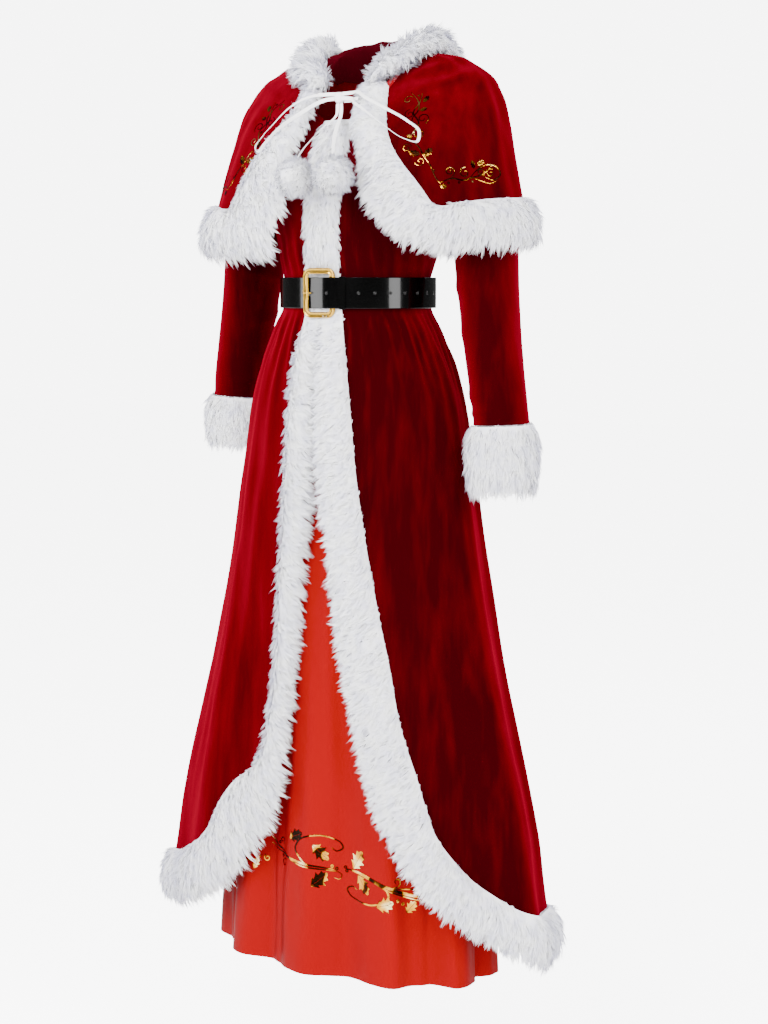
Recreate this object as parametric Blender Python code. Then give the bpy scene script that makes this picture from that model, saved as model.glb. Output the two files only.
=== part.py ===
# Christmas dress costume, worn form with no wearer: a long velvet overdress with fur bands, a satin
# skirt under it, a buckled belt and a hooded capelet tied with a pompom ribbon.
# Metres, +Z up, the front faces -Y, the wearer's left is +X, the origin is at the shoulders.
import math

import bpy
import bmesh
import numpy as np
from mathutils import Vector

SEAM = 0.0003          # gap between pieces at a seam
CLOTH = 0.0015         # velvet wall
SATIN = 0.0012         # satin wall
WAIST_Z = -0.327       # waist seam, under the belt
ARMPIT_Z = -0.148      # top of the side seams
SIDE = 95.0            # angle of the skirt's side seams, from the front, degrees
BELT_HEIGHT = 0.047
BELT_THICK = 0.0022
HEM_FLUTE = 0.009      # depth of the overskirt's soft flutes at the hem
FLUTES = 9             # flutes round the overskirt
GATHERS = 18           # gathers round the waist seam
GATHER_DEPTH = 0.0022
SATIN_HEM_Z = -1.385
SATIN_WAVES = 10
SATIN_WAVE = 0.013     # depth of the satin's waves at the hem
RING_HALF_WIDTH = 0.028
RING_HALF_HEIGHT = 0.021
RIBBON = 0.006         # width of the tie ribbon
POMPOM_CORE = 0.0185
POMPOM_REACH = 0.0285

# Sections of the overskirt: height, half width, depth in front and behind, shift of the axis in Y
SKIRT = {
    "z":     (-1.360, -1.280, -1.120, -1.000, -0.880, -0.730, -0.600, -0.460, -0.390, -0.352, -0.327),
    "half":  (0.3590, 0.3450, 0.3130, 0.2820, 0.2520, 0.2220, 0.2000, 0.1720, 0.1430, 0.1225, 0.1220),
    "front": (0.1430, 0.1400, 0.1360, 0.1320, 0.1280, 0.1240, 0.1210, 0.1140, 0.1050, 0.0985, 0.0980),
    "back":  (0.1540, 0.1500, 0.1470, 0.1440, 0.1400, 0.1350, 0.1300, 0.1180, 0.1060, 0.0985, 0.0980),
    "shift": (-0.016, -0.014, -0.011, -0.008, -0.005, -0.003, -0.001, 0.0000, 0.0000, 0.0000, 0.0000)}

# Sections of the satin skirt
UNDERSKIRT = {
    "z":     (-1.400, -1.200, -1.000, -0.800, -0.600, -0.460, -0.390, -0.350, -0.327),
    "half":  (0.2420, 0.2300, 0.2160, 0.1960, 0.1740, 0.1520, 0.1320, 0.1192, 0.1192),
    "front": (0.1260, 0.1180, 0.1120, 0.1080, 0.1040, 0.0990, 0.0960, 0.0944, 0.0944),
    "back":  (0.1220, 0.1160, 0.1130, 0.1090, 0.1060, 0.1010, 0.0970, 0.0950, 0.0950),
    "shift": (-0.010, -0.008, -0.006, -0.004, -0.001, 0.0000, 0.0000, 0.0000, 0.0000)}

# Sections of the bodice below the armholes
BODICE = {
    "z":     (-0.327, -0.300, -0.265, -0.215, -0.175, -0.148),
    "half":  (0.1210, 0.1215, 0.1310, 0.1450, 0.1550, 0.1592),
    "front": (0.0970, 0.0980, 0.1050, 0.1150, 0.1230, 0.1240),
    "back":  (0.0970, 0.0975, 0.1010, 0.1030, 0.0940, 0.0860),
    "shift": (0.0000, 0.0010, 0.0060, 0.0170, 0.0280, 0.0360)}

# Rows of the bodice below the armholes, the second just over the belt, and its placket's half width
BODICE_ROWS = (-0.327, -0.3015, -0.265, -0.215, -0.175, -0.148)
PLACKET_HALF = 0.0315

# Front edge of the bodice above its side seams and round the neckline, and its middle line at the back
FRONT_LINE = ((0.0315, -0.0850, -0.148), (0.0315, -0.0780, -0.120), (0.0315, -0.0640, -0.093),
              (0.0315, -0.0445, -0.066), (0.0500, -0.0340, -0.051), (0.0640, -0.0140, -0.030),
              (0.0730, 0.0140, -0.004), (0.0760, 0.0450, 0.022))
BACK_LINE = ((0.0, 0.1220, -0.148), (0.0, 0.1240, -0.132), (0.0, 0.1240, -0.105), (0.0, 0.1220, -0.075),
             (0.0, 0.1180, -0.045), (0.0, 0.1120, -0.020), (0.0, 0.1060, 0.000), (0.0, 0.0990, 0.016))

# Sections of the capelet
CAPE = {
    "z":     (-0.290, -0.240, -0.190, -0.130, -0.075, -0.030, 0.0000, 0.0160, 0.0300, 0.0400, 0.0450),
    "half":  (0.2960, 0.2860, 0.2680, 0.2530, 0.2410, 0.2260, 0.2070, 0.1820, 0.1500, 0.0850, 0.0550),
    "front": (0.1600, 0.1580, 0.1520, 0.1400, 0.1180, 0.0850, 0.0550, 0.0360, 0.0240, 0.0140, 0.0090),
    "back":  (0.1500, 0.1450, 0.1400, 0.1330, 0.1220, 0.1080, 0.0950, 0.0820, 0.0700, 0.0580, 0.0450),
    "shift": (0.0240, 0.0260, 0.0300, 0.0350, 0.0400, 0.0430, 0.0450, 0.0450, 0.0450, 0.0450, 0.0450)}

# Shares of the overskirt's height at which its rows lie; the second row is just under the belt
SKIRT_ROWS = (0.0, 0.0285, 0.065, 0.11, 0.18, 0.27, 0.37, 0.48, 0.59, 0.70, 0.80, 0.90, 1.0)

# Edge of each overskirt front from the belt down and round to the side seam: angle and height of the
# velvet's edge, then of the fur band's free edge. The corner row is where the front edge becomes the hem.
SKIRT_EDGE_LEFT = {
    "corner": 10,
    "velvet_angle": (16.5, 17.5, 20.0, 22.0, 23.5, 28.5, 31.5, 34.0, 38.0, 39.5, 41.5, 45.5, 53.0, 62.0, 74.0, 95.0),
    "velvet_z": (-0.3275, -0.40, -0.50, -0.607, -0.671, -0.806, -0.885, -0.979, -1.054, -1.090, -1.128,
                 -1.160, -1.198, -1.224, -1.250, -1.270),
    "fur_angle": (0.3, 0.3, 0.3, 0.5, 3.5, 9.0, 12.0, 16.0, 19.5, 23.0, 28.0, 34.0, 43.0, 55.0, 70.0, 95.0),
    "fur_z": (-0.3275, -0.40, -0.50, -0.620, -0.690, -0.811, -0.895, -0.985, -1.060, -1.110, -1.155,
              -1.205, -1.250, -1.284, -1.315, -1.340)}
SKIRT_EDGE_RIGHT = {
    "corner": 7,
    "velvet_angle": (14.0, 14.5, 16.0, 17.0, 17.4, 17.0, 17.0, 18.5, 23.0, 29.5, 34.5, 37.5, 44.0, 57.0, 72.0, 95.0),
    "velvet_z": (-0.3275, -0.40, -0.50, -0.610, -0.743, -0.873, -0.953, -1.026, -1.068, -1.098, -1.135,
                 -1.178, -1.213, -1.240, -1.257, -1.270),
    "fur_angle": (0.3, 0.3, 0.3, 0.6, 3.0, 5.0, 6.8, 7.8, 9.5, 12.5, 18.0, 26.0, 35.0, 50.0, 69.0, 95.0),
    "fur_z": (-0.3275, -0.40, -0.50, -0.620, -0.745, -0.880, -0.960, -1.030, -1.085, -1.140, -1.190,
              -1.240, -1.285, -1.318, -1.335, -1.340)}

# Front edges of the capelet, from the neck down and round into its hem
CAPE_ROWS = (0.0, 0.14, 0.28, 0.42, 0.56, 0.70, 0.85, 1.0)
CAPE_EDGE_LEFT = {
    "corner": 6,
    "velvet_angle": (20.0, 22.0, 24.0, 27.0, 32.0, 38.0, 43.5, 56.0, 70.0, 90.0),
    "velvet_z": (-0.018, -0.047, -0.077, -0.105, -0.135, -0.165, -0.199, -0.194, -0.189, -0.186),
    "fur_angle": (6.0, 7.5, 9.5, 13.0, 16.5, 20.5, 31.0, 48.0, 67.0, 90.0),
    "fur_z": (-0.020, -0.049, -0.080, -0.108, -0.140, -0.190, -0.240, -0.258, -0.252, -0.248)}
CAPE_EDGE_RIGHT = {
    "corner": 6,
    "velvet_angle": (20.0, 19.0, 22.0, 28.0, 33.0, 37.0, 39.0, 53.0, 70.0, 90.0),
    "velvet_z": (-0.018, -0.047, -0.078, -0.099, -0.128, -0.162, -0.197, -0.193, -0.189, -0.186),
    "fur_angle": (7.0, 6.0, 5.5, 6.5, 9.0, 12.5, 15.0, 34.0, 60.0, 90.0),
    "fur_z": (-0.020, -0.052, -0.080, -0.111, -0.145, -0.190, -0.262, -0.270, -0.258, -0.248)}

# Rings of the sleeves from the armhole down: the ring's outer and inner points, its place and half depth in Y
SLEEVE_LEFT = {
    "outer_x": (0.1650, 0.2012, 0.223, 0.243, 0.257, 0.264, 0.273, 0.286, 0.300, 0.3055),
    "outer_z": (-0.0075, -0.0206, -0.066, -0.128, -0.195, -0.258, -0.330, -0.415, -0.490, -0.5195),
    "inner_x": (0.1602, 0.165, 0.166, 0.163, 0.162, 0.166, 0.180, 0.198, 0.215, 0.2205),
    "inner_z": (-0.148, -0.156, -0.172, -0.194, -0.225, -0.270, -0.337, -0.421, -0.495, -0.5235),
    "y":       (0.036, 0.038, 0.038, 0.036, 0.033, 0.028, 0.017, 0.005, -0.004, -0.0075),
    "half_y":  (0.058, 0.057, 0.055, 0.053, 0.051, 0.050, 0.047, 0.0445, 0.0425, 0.0420)}
SLEEVE_RIGHT = {
    "outer_x": (0.1650, 0.2012, 0.223, 0.246, 0.264, 0.272, 0.285, 0.298, 0.3055, 0.3065),
    "outer_z": (-0.0075, -0.0206, -0.066, -0.128, -0.195, -0.258, -0.325, -0.395, -0.455, -0.4940),
    "inner_x": (0.1602, 0.165, 0.166, 0.164, 0.166, 0.173, 0.190, 0.208, 0.218, 0.2215),
    "inner_z": (-0.148, -0.156, -0.172, -0.194, -0.225, -0.270, -0.331, -0.401, -0.461, -0.4990),
    "y":       (0.036, 0.038, 0.038, 0.035, 0.033, 0.038, 0.047, 0.052, 0.050, 0.0480),
    "half_y":  (0.058, 0.057, 0.055, 0.053, 0.051, 0.050, 0.047, 0.0445, 0.0430, 0.0420)}

# Fur ring on the hood's edge, and the hood's section under it: angle from the front, distance from the
# neck's axis and height
HOOD = {
    "angle":    (42.0, 60.0, 80.0, 101.0, 125.0, 150.0, 180.0),
    "ring_r":   (0.090, 0.087, 0.0905, 0.104, 0.130, 0.146, 0.152),
    "ring_z":   (0.014, 0.034, 0.0560, 0.0650, 0.052, 0.040, 0.034),
    "seam_r":   (0.072, 0.068, 0.0650, 0.0650, 0.064, 0.062, 0.061),
    "seam_z":   (-0.014, 0.006, 0.028, 0.0430, 0.0435, 0.043, 0.043)}

# Sections of the hood from the neck seam over the roll into the bag and up to the rim: where the bag
# begins, and where it is full
BAG_ANGLES = (120.0, 141.0, 165.0)
BAG_START = {
    "r": (0.063, 0.0655, 0.0720, 0.0860, 0.104, 0.122, 0.138, 0.152, 0.158, 0.154, 0.1407),
    "z": (0.043, 0.0550, 0.0600, 0.0500, 0.030, 0.008, -0.012, -0.018, -0.008, 0.006, 0.0195)}
BAG = {
    "r": (0.061, 0.0635, 0.0700, 0.0850, 0.104, 0.127, 0.146, 0.170, 0.177, 0.168, 0.152),
    "z": (0.043, 0.0575, 0.0680, 0.0560, 0.010, -0.060, -0.115, -0.105, -0.060, -0.020, 0.010)}
NECK_Y = 0.045
RIM_DROP = 0.0018      # how far under the fur ring the hood's rim ends

# Routes of the tie ribbon, chosen by hand
KNOT = (0.0120, -0.0650, -0.0340)
KNOT_SIZE = (0.0120, 0.0110, 0.0160)
TIE_ROUTES = {
    "tie_left": ((0.0186, -0.0625, -0.0390), (0.030, -0.0630, -0.0390), (0.040, -0.066, -0.0375),
                 (0.0476, -0.0682, -0.0374)),
    "tie_right": ((0.0054, -0.0622, -0.0285), (-0.010, -0.0622, -0.0285), (-0.022, -0.060, -0.0280),
                  (-0.0338, -0.0565, -0.0268)),
    "bow_loop_left": ((0.0186, -0.0675, -0.0290), (0.0345, -0.0680, -0.0285), (0.060, -0.088, -0.030),
                      (0.088, -0.108, -0.042), (0.118, -0.102, -0.058), (0.148, -0.092, -0.076),
                      (0.164, -0.084, -0.092), (0.163, -0.087, -0.106), (0.146, -0.098, -0.102),
                      (0.120, -0.108, -0.084), (0.090, -0.112, -0.062), (0.060, -0.100, -0.046),
                      (0.0345, -0.0700, -0.0370), (0.0186, -0.0690, -0.0355)),
    "bow_loop_right": ((0.0054, -0.0675, -0.0290), (-0.0105, -0.0680, -0.0285), (-0.036, -0.085, -0.034),
                       (-0.062, -0.096, -0.050), (-0.086, -0.098, -0.070), (-0.106, -0.102, -0.090),
                       (-0.116, -0.106, -0.106), (-0.110, -0.110, -0.113), (-0.092, -0.110, -0.098),
                       (-0.068, -0.108, -0.078), (-0.042, -0.098, -0.060), (-0.0105, -0.0700, -0.0370),
                       (0.0054, -0.0690, -0.0355)),
    "tail_left": ((0.0152, -0.0655, -0.0426), (0.0155, -0.0665, -0.058), (0.024, -0.090, -0.080),
                  (0.036, -0.116, -0.102), (0.048, -0.136, -0.119), (0.0565, -0.1470, -0.1290)),
    "tail_right": ((0.0088, -0.0655, -0.0426), (0.0085, -0.0665, -0.058), (0.001, -0.091, -0.080),
                   (-0.004, -0.118, -0.101), (-0.008, -0.137, -0.118), (-0.0097, -0.1470, -0.1290))}
POMPOMS = {"pompom_left": (0.0594, -0.1546, -0.1560), "pompom_right": (-0.0090, -0.1528, -0.1570)}


def clear_scene():
    for item in list(bpy.data.objects):
        bpy.data.objects.remove(item, do_unlink=True)


def make_material(name, colour, roughness, metallic=0.0):
    material = bpy.data.materials.new(name)
    material.use_nodes = True
    shader = material.node_tree.nodes["Principled BSDF"]
    shader.inputs["Base Color"].default_value = (*colour, 1.0)
    shader.inputs["Roughness"].default_value = roughness
    shader.inputs["Metallic"].default_value = metallic
    return material


def smooth(at, places, values):
    """Cubic curve through the values at the given places, read at each number of at."""
    places, values, at = (np.asarray(v, float) for v in (places, values, at))
    slopes = np.gradient(values, places)
    index = np.clip(np.searchsorted(places, at) - 1, 0, len(places) - 2)
    step = places[index + 1] - places[index]
    t = np.clip((at - places[index]) / step, 0.0, 1.0)
    rise = 3 * t ** 2 - 2 * t ** 3
    return (values[index] * (1 - rise) + values[index + 1] * rise
            + step * slopes[index] * (t ** 3 - 2 * t ** 2 + t)
            + step * slopes[index + 1] * (t ** 3 - t ** 2))


def section(table, angle, z, spread=0.0):
    """Points of a garment's surface at angles in degrees from the front and heights z, let out by spread."""
    turn = np.radians(angle)
    half = smooth(z, table["z"], table["half"]) + spread
    front = smooth(z, table["z"], table["front"]) + spread
    back = smooth(z, table["z"], table["back"]) + spread
    depth = np.where(np.cos(turn) > 0, front, back)
    y = smooth(z, table["z"], table["shift"]) - depth * np.cos(turn)
    return np.stack([half * np.sin(turn), y, z + 0.0 * turn], axis=-1)


def skirt_surface(angle, z):
    """Overskirt: flutes that deepen towards the hem, and gathers that die out below the waist."""
    down = np.clip((WAIST_Z - z) / 1.0, 0.0, 1.0)
    calm = np.clip(np.abs(angle) / 40.0, 0.25, 1.0)
    flute = HEM_FLUTE * down ** 1.2 * calm * np.cos(np.radians(FLUTES * angle + 20.0 * down))
    fade = np.clip(1.0 - (WAIST_Z - 0.026 - z) / 0.12, 0.0, 1.0) * np.clip((WAIST_Z - 0.024 - z) / 0.02, 0.0, 1.0)
    gather = GATHER_DEPTH * fade * np.clip((np.abs(angle) - 20.0) / 20.0, 0.0, 1.0) \
        * np.cos(np.radians(GATHERS * angle))
    return section(SKIRT, angle, z, flute + gather)


def underskirt_surface(angle, z):
    """Satin skirt: waves that grow towards the hem."""
    down = np.clip((-0.55 - z) / 0.85, 0.0, 1.0)
    wave = SATIN_WAVE * down ** 1.3 * np.cos(np.radians(SATIN_WAVES * angle + 35.0))
    return section(UNDERSKIRT, angle, z, wave)


def cape_surface(angle, z):
    """Capelet: shallow folds over the arms that fade towards the neck."""
    fold = 0.004 * np.clip(-z / 0.2, 0.0, 1.0) * np.cos(np.radians(8.0 * angle + 15.0))
    return section(CAPE, angle, z, fold)


def normals(grid, closed=False):
    """Unit normals of a grid of points, from the differences along its rows and columns."""
    if closed:
        along = np.roll(grid, -1, axis=1) - np.roll(grid, 1, axis=1)
    else:
        along = np.gradient(grid, axis=1)
    return unit(np.cross(np.gradient(grid, axis=0), along))


def unit(vectors):
    return vectors / np.maximum(np.linalg.norm(vectors, axis=-1, keepdims=True), 1e-9)


def outward_normals(surface, angle, z):
    """Unit normals of a surface of angle and height, pointing away from its axis."""
    across = surface(angle + 0.4, z) - surface(angle - 0.4, z)
    up = surface(angle, z + 0.002) - surface(angle, z - 0.002)
    return unit(np.cross(across, up))


def away_from(normal, grid, centre):
    """Normals turned together so that on the whole they point away from the centre."""
    return normal * np.sign(np.sum(normal * (grid - np.asarray(centre))))


ALL = slice(None)


def squared(normal, cuts):
    """Normals with one axis taken out along the given rows or columns, so a seam's edge stays in its plane."""
    normal = normal.copy()
    for rows, columns, axis in cuts:
        normal[rows, columns, axis] = 0.0
    return unit(normal)


def add_object(name, bm, material):
    bmesh.ops.recalc_face_normals(bm, faces=bm.faces)
    mesh = bpy.data.meshes.new(name)
    bm.to_mesh(mesh)
    bm.free()
    item = bpy.data.objects.new(name, mesh)
    bpy.context.scene.collection.objects.link(item)
    mesh.materials.append(material)
    mesh.shade_smooth()
    mesh.set_sharp_from_angle(angle=math.radians(50.0))
    return item


def wall(name, outer, inner, material, closed=False):
    """Closed body between two grids of points, joined round their rims; closed joins the last column to the first."""
    rows, columns = outer.shape[:2]
    bm = bmesh.new()
    skins = [[[bm.verts.new(Vector(point)) for point in row] for row in grid] for grid in (outer, inner)]
    last = columns if closed else columns - 1
    for i in range(rows - 1):
        for j in range(last):
            k = (j + 1) % columns
            a, b = skins
            bm.faces.new((a[i][j], a[i][k], a[i + 1][k], a[i + 1][j]))
            bm.faces.new((b[i][j], b[i + 1][j], b[i + 1][k], b[i][k]))
    for i in (0, rows - 1):
        for j in range(last):
            k = (j + 1) % columns
            bm.faces.new((skins[0][i][j], skins[1][i][j], skins[1][i][k], skins[0][i][k]))
    if not closed:
        for j in (0, columns - 1):
            for i in range(rows - 1):
                bm.faces.new((skins[0][i][j], skins[0][i + 1][j], skins[1][i + 1][j], skins[1][i][j]))
    return add_object(name, bm, material)


def cloth(name, grid, normal, material, thickness=CLOTH, closed=False, cuts=()):
    """Wall of cloth whose outer face is the grid and whose inner face lies along the outward normals."""
    return wall(name, grid, grid - thickness * squared(normal, cuts), material, closed)


def cloth_on(name, surface, patch, material, thickness=CLOTH, cuts=()):
    """Wall of cloth on a surface, from a patch of angles and heights."""
    angle, z = patch[..., 0], patch[..., 1]
    return cloth(name, surface(angle, z), outward_normals(surface, angle, z), material, thickness, False, cuts)


def edge_path(table, part, sign, shares, along):
    """Angle and height down an edge table's velvet or fur line at the rows' shares, then along its hem."""
    angle, z = np.array(table[part + "_angle"]), np.array(table[part + "_z"])
    corner = table["corner"]
    down_z = z[0] + (z[corner] - z[0]) * np.array(shares)
    down = np.stack([smooth(-down_z, -z[:corner + 1], angle[:corner + 1]), down_z], axis=-1)
    rows = np.linspace(corner, len(z) - 1.0, along)
    places = np.arange(len(z), dtype=float)
    hem = np.stack([smooth(rows, places, angle), smooth(rows, places, z)], axis=-1)
    hem[0] = down[-1]
    return down * (sign, 1.0), hem * (sign, 1.0)


def coons(front, side, top, bottom, shares):
    """Grid that blends four edge curves of angle and height: rows run down front and side, columns along top."""
    v = np.array(shares)[:, None, None]
    u = np.linspace(0.0, 1.0, len(top))[None, :, None]
    sides = (1 - u) * front[:, None, :] + u * side[:, None, :]
    ends = (1 - v) * top[None, :, :] + v * bottom[None, :, :]
    corners = ((1 - u) * (1 - v) * top[0] + u * (1 - v) * top[-1]
               + (1 - u) * v * bottom[0] + u * v * bottom[-1])
    return sides + ends - corners


def line(start, end, count):
    return np.linspace(np.asarray(start, float), np.asarray(end, float), count)


def fur_band(name, edge, free, surface, material, height, flat_z=None, inner=0.003, cuts=()):
    """Domed fur band between the cloth's edge and the band's free edge, both paths of angle and height."""
    across = np.array([0.0, 0.07, 0.30, 0.58, 0.84, 1.0])
    dome = np.array([0.25, 0.72, 1.0, 0.95, 0.62, 0.14])
    under = np.array([0.6, 0.8, 1.0, 1.0, 0.8, 0.2])
    patch = edge[:, None, :] * (1 - across[None, :, None]) + free[:, None, :] * across[None, :, None]
    grid = surface(patch[..., 0], patch[..., 1])
    first = grid[:, 1] - grid[:, 0]
    grid[:, 0] += unit(first) * SEAM * 1.5
    tall = np.full(len(edge), height)
    if flat_z is not None:
        tall = height * np.clip((np.abs(edge[:, 1] - WAIST_Z) - flat_z) / 0.045, 0.07, 1.0)
    normal = squared(outward_normals(surface, patch[..., 0], patch[..., 1]), cuts)
    outer = grid + normal * (dome[None, :] * tall[:, None])[..., None]
    return wall(name, outer, grid - normal * (inner * under)[None, :, None], material)


def tube(name, centres, across, upright, material, sides=8, closed_path=False):
    """Closed tube of oval section round a path; across and upright are the section's half axes at each point."""
    turn = np.linspace(0.0, 2 * math.pi, sides, endpoint=False)
    rings = (centres[:, None, :] + across[:, None, :] * np.cos(turn)[None, :, None]
             + upright[:, None, :] * np.sin(turn)[None, :, None])
    bm = bmesh.new()
    verts = [[bm.verts.new(Vector(point)) for point in ring] for ring in rings]
    count = len(verts)
    for i in range(count if closed_path else count - 1):
        for j in range(sides):
            k = (j + 1) % sides
            n = (i + 1) % count
            bm.faces.new((verts[i][j], verts[i][k], verts[n][k], verts[n][j]))
    if not closed_path:
        bm.faces.new(verts[0])
        bm.faces.new(verts[-1])
    return add_object(name, bm, material)


def build_overskirt(velvet, fur):
    """Two fronts with curved edges and a back, each ending in its own fur band."""
    along = 10
    waist = WAIST_Z - SEAM
    for name, sign, table in (("left", 1.0, SKIRT_EDGE_LEFT), ("right", -1.0, SKIRT_EDGE_RIGHT)):
        front, hem = edge_path(table, "velvet", sign, SKIRT_ROWS, along)
        seam = sign * (SIDE - 0.08)
        front[0, 1] = waist
        hem[-1, 0] = seam
        top = line(front[0], (seam, waist), along)
        side = np.stack([np.full(len(SKIRT_ROWS), seam),
                         waist + (hem[-1, 1] - waist) * np.array(SKIRT_ROWS)], axis=-1)
        patch = coons(front, side, top, hem, SKIRT_ROWS)
        cloth_on("overskirt_front_" + name, skirt_surface, patch, velvet, cuts=((0, ALL, 2),))
        edge = np.concatenate([front, hem[1:]])
        free_down, free_hem = edge_path(table, "fur", sign, SKIRT_ROWS, along)
        free = np.concatenate([free_down, free_hem[1:]])
        free[0, 1] = waist
        free[-1, 0] = seam
        fur_band("skirt_fur_front_" + name, edge, free, skirt_surface, fur, 0.016, flat_z=0.040,
                 cuts=((0, ALL, 2),))
    angles = np.linspace(SIDE + 0.08, 360.0 - SIDE - 0.08, 25)
    drop = 0.5 - 0.5 * np.cos(np.radians((angles - SIDE) / (360.0 - 2 * SIDE) * 360.0))
    hem_z = -1.270 - 0.014 * drop
    shares = np.array(SKIRT_ROWS)[:, None]
    z = waist + (hem_z[None, :] - waist) * shares
    patch = np.stack([angles[None, :] + 0.0 * z, z], axis=-1)
    cloth_on("overskirt_back", skirt_surface, patch, velvet, cuts=((0, ALL, 2),))
    edge = np.stack([angles, hem_z], axis=-1)
    free = np.stack([angles, hem_z - 0.070], axis=-1)
    fur_band("skirt_fur_back", edge, free, skirt_surface, fur, 0.016)


def build_underskirt(satin):
    """Satin front and back, joined at side seams."""
    shares = np.array([0.0, 0.03, 0.10, 0.28, 0.52, 0.76, 1.0])[:, None]
    for name, first, last, count in (("front", -89.92, 89.92, 29), ("back", 90.08, 269.92, 21)):
        angles = np.linspace(first, last, count)
        z = WAIST_Z - 0.001 + (SATIN_HEM_Z - WAIST_Z + 0.001) * shares + 0.0 * angles[None, :]
        patch = np.stack([angles[None, :] + 0.0 * z, z], axis=-1)
        cloth_on("satin_skirt_" + name, underskirt_surface, patch, satin, SATIN)


def armhole(sign, half):
    """Armhole arc from the armpit to the shoulder; half is -1 for the front arc and 1 for the back."""
    turn = np.linspace(0.0, math.pi, 8)
    x = 0.1616 - 0.0026 * np.cos(turn)
    return np.stack([sign * x, 0.036 + half * 0.058 * np.sin(turn), -0.078 - 0.070 * np.cos(turn)], axis=-1)


def blended(base, bottom, top):
    """Grid of rows whose first and last rows are pulled on to exact edges, fading quickly between."""
    v = np.linspace(0.0, 1.0, len(base))[:, None, None]
    return base + (bottom - base[0])[None] * (1 - v) ** 2 + (top - base[-1])[None] * v ** 4


def bodice_lower(angles):
    z = np.array(BODICE_ROWS)[:, None] + 0.0 * angles
    return section(BODICE, angles, z)


def build_bodice(velvet, fur):
    """Two fronts either side of the fur placket, and a back."""
    low = np.array(BODICE_ROWS)
    front_line = np.array(FRONT_LINE)
    front_line[0] = section(BODICE, np.degrees(np.arcsin(PLACKET_HALF / BODICE["half"][-1])), np.array(ARMPIT_Z))
    start = np.degrees(np.arcsin(PLACKET_HALF / smooth(low, BODICE["z"], BODICE["half"])))[:, None]
    share = np.linspace(0.0, 1.0, 7)[None, :]
    shoulder = line((0.0760, 0.0450, 0.022), (0.1642, 0.0360, -0.008), 7)
    for name, sign in (("left", 1.0), ("right", -1.0)):
        side = np.array([sign, 1.0, 1.0])
        lower = bodice_lower(start * (1 - share) + 89.9 * share) * side
        arc = armhole(sign, -1.0)
        arc[0] = lower[-1, -1]
        along = np.linspace(0.0, 1.0, 7)[None, :, None]
        base = (front_line * side)[:, None, :] * (1 - along) + arc[:, None, :] * along
        upper = blended(base, lower[-1], shoulder * side)[1:]
        grid = np.concatenate([lower, upper])
        normal = away_from(normals(grid), grid, (0.0, 0.03, -0.2))
        cuts = ((0, ALL, 2), (-1, ALL, 1), (ALL, 0, 0), (slice(0, 6), -1, 1))
        cloth("bodice_front_" + name, grid, normal, velvet, cuts=cuts)
    lower = bodice_lower(np.linspace(90.1, 269.9, 13)[None, :])
    back_line = np.array(BACK_LINE)
    across = np.linspace(1.0, -1.0, 13)
    arc = armhole(1.0, 1.0)
    arc[0] = lower[-1, 0]
    t = np.abs(across)[None, :]
    base = np.stack([arc[:, 0][:, None] * across[None, :],
                     back_line[:, 1][:, None] + (arc[:, 1] - back_line[:, 1])[:, None] * t ** 2.2,
                     back_line[:, 2][:, None] + (arc[:, 2] - back_line[:, 2])[:, None] * t ** 2], axis=-1)
    neck = np.array(((0.1642, 0.0366, -0.008), (0.136, 0.0395, 0.002), (0.106, 0.0425, 0.012),
                     (0.076, 0.0456, 0.022), (0.058, 0.078, 0.020), (0.032, 0.094, 0.017), (0.0, 0.099, 0.016)))
    top = np.concatenate([neck, neck[-2::-1] * (-1, 1, 1)])
    upper = blended(base, lower[-1], top)[1:]
    grid = np.concatenate([lower, upper])
    cuts = ((0, ALL, 2), (-1, ALL, 1), (slice(0, 6), 0, 1), (slice(0, 6), -1, 1))
    cloth("bodice_back", grid, away_from(normals(grid), grid, (0.0, 0.0, -0.2)), velvet, cuts=cuts)
    build_placket(front_line, fur)


def build_placket(front_line, fur):
    """Fur placket down the middle of the bodice, domed, flat under the belt."""
    across = np.array([-1.0, -0.8, -0.3, 0.3, 0.8, 1.0])
    dome = np.array([0.25, 0.7, 1.0, 1.0, 0.7, 0.25])
    low = np.array(BODICE_ROWS)
    start = np.arcsin(PLACKET_HALF / smooth(low, BODICE["z"], BODICE["half"]))
    low_y = section(BODICE, np.degrees(start), low)[:, 1]
    rows = np.concatenate([low, front_line[1:4, 2]])
    edge_y = np.concatenate([low_y, front_line[1:4, 1]])
    tall = 0.014 * np.clip((rows - WAIST_Z - 0.026) / 0.045, 0.07, 1.0)
    x = across[None, :] * (PLACKET_HALF - SEAM) + 0.0 * rows[:, None]
    base = np.stack([x, edge_y[:, None] - 0.001 * (1 - across[None, :] ** 2), rows[:, None] + 0.0 * x], axis=-1)
    front = base - np.stack([0 * x, dome[None, :] * tall[:, None], 0 * x], axis=-1)
    wall("placket_fur", front, base + np.array([0.0, 0.003, 0.0]), fur)


def sleeve_rings(table, sign, count=14):
    """Rings of points round a sleeve, from its armhole to its end."""
    turn = np.linspace(0.0, 2 * math.pi, count, endpoint=False)[None, :]
    outer = np.stack([table["outer_x"], table["outer_z"]], axis=-1)[:, None, :]
    inner = np.stack([table["inner_x"], table["inner_z"]], axis=-1)[:, None, :]
    share = 0.5 + 0.5 * np.cos(turn)[..., None]
    flat = inner + (outer - inner) * share
    y = np.array(table["y"])[:, None] + np.array(table["half_y"])[:, None] * np.sin(turn)
    return np.stack([sign * flat[..., 0], y, flat[..., 1]], axis=-1)


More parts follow.
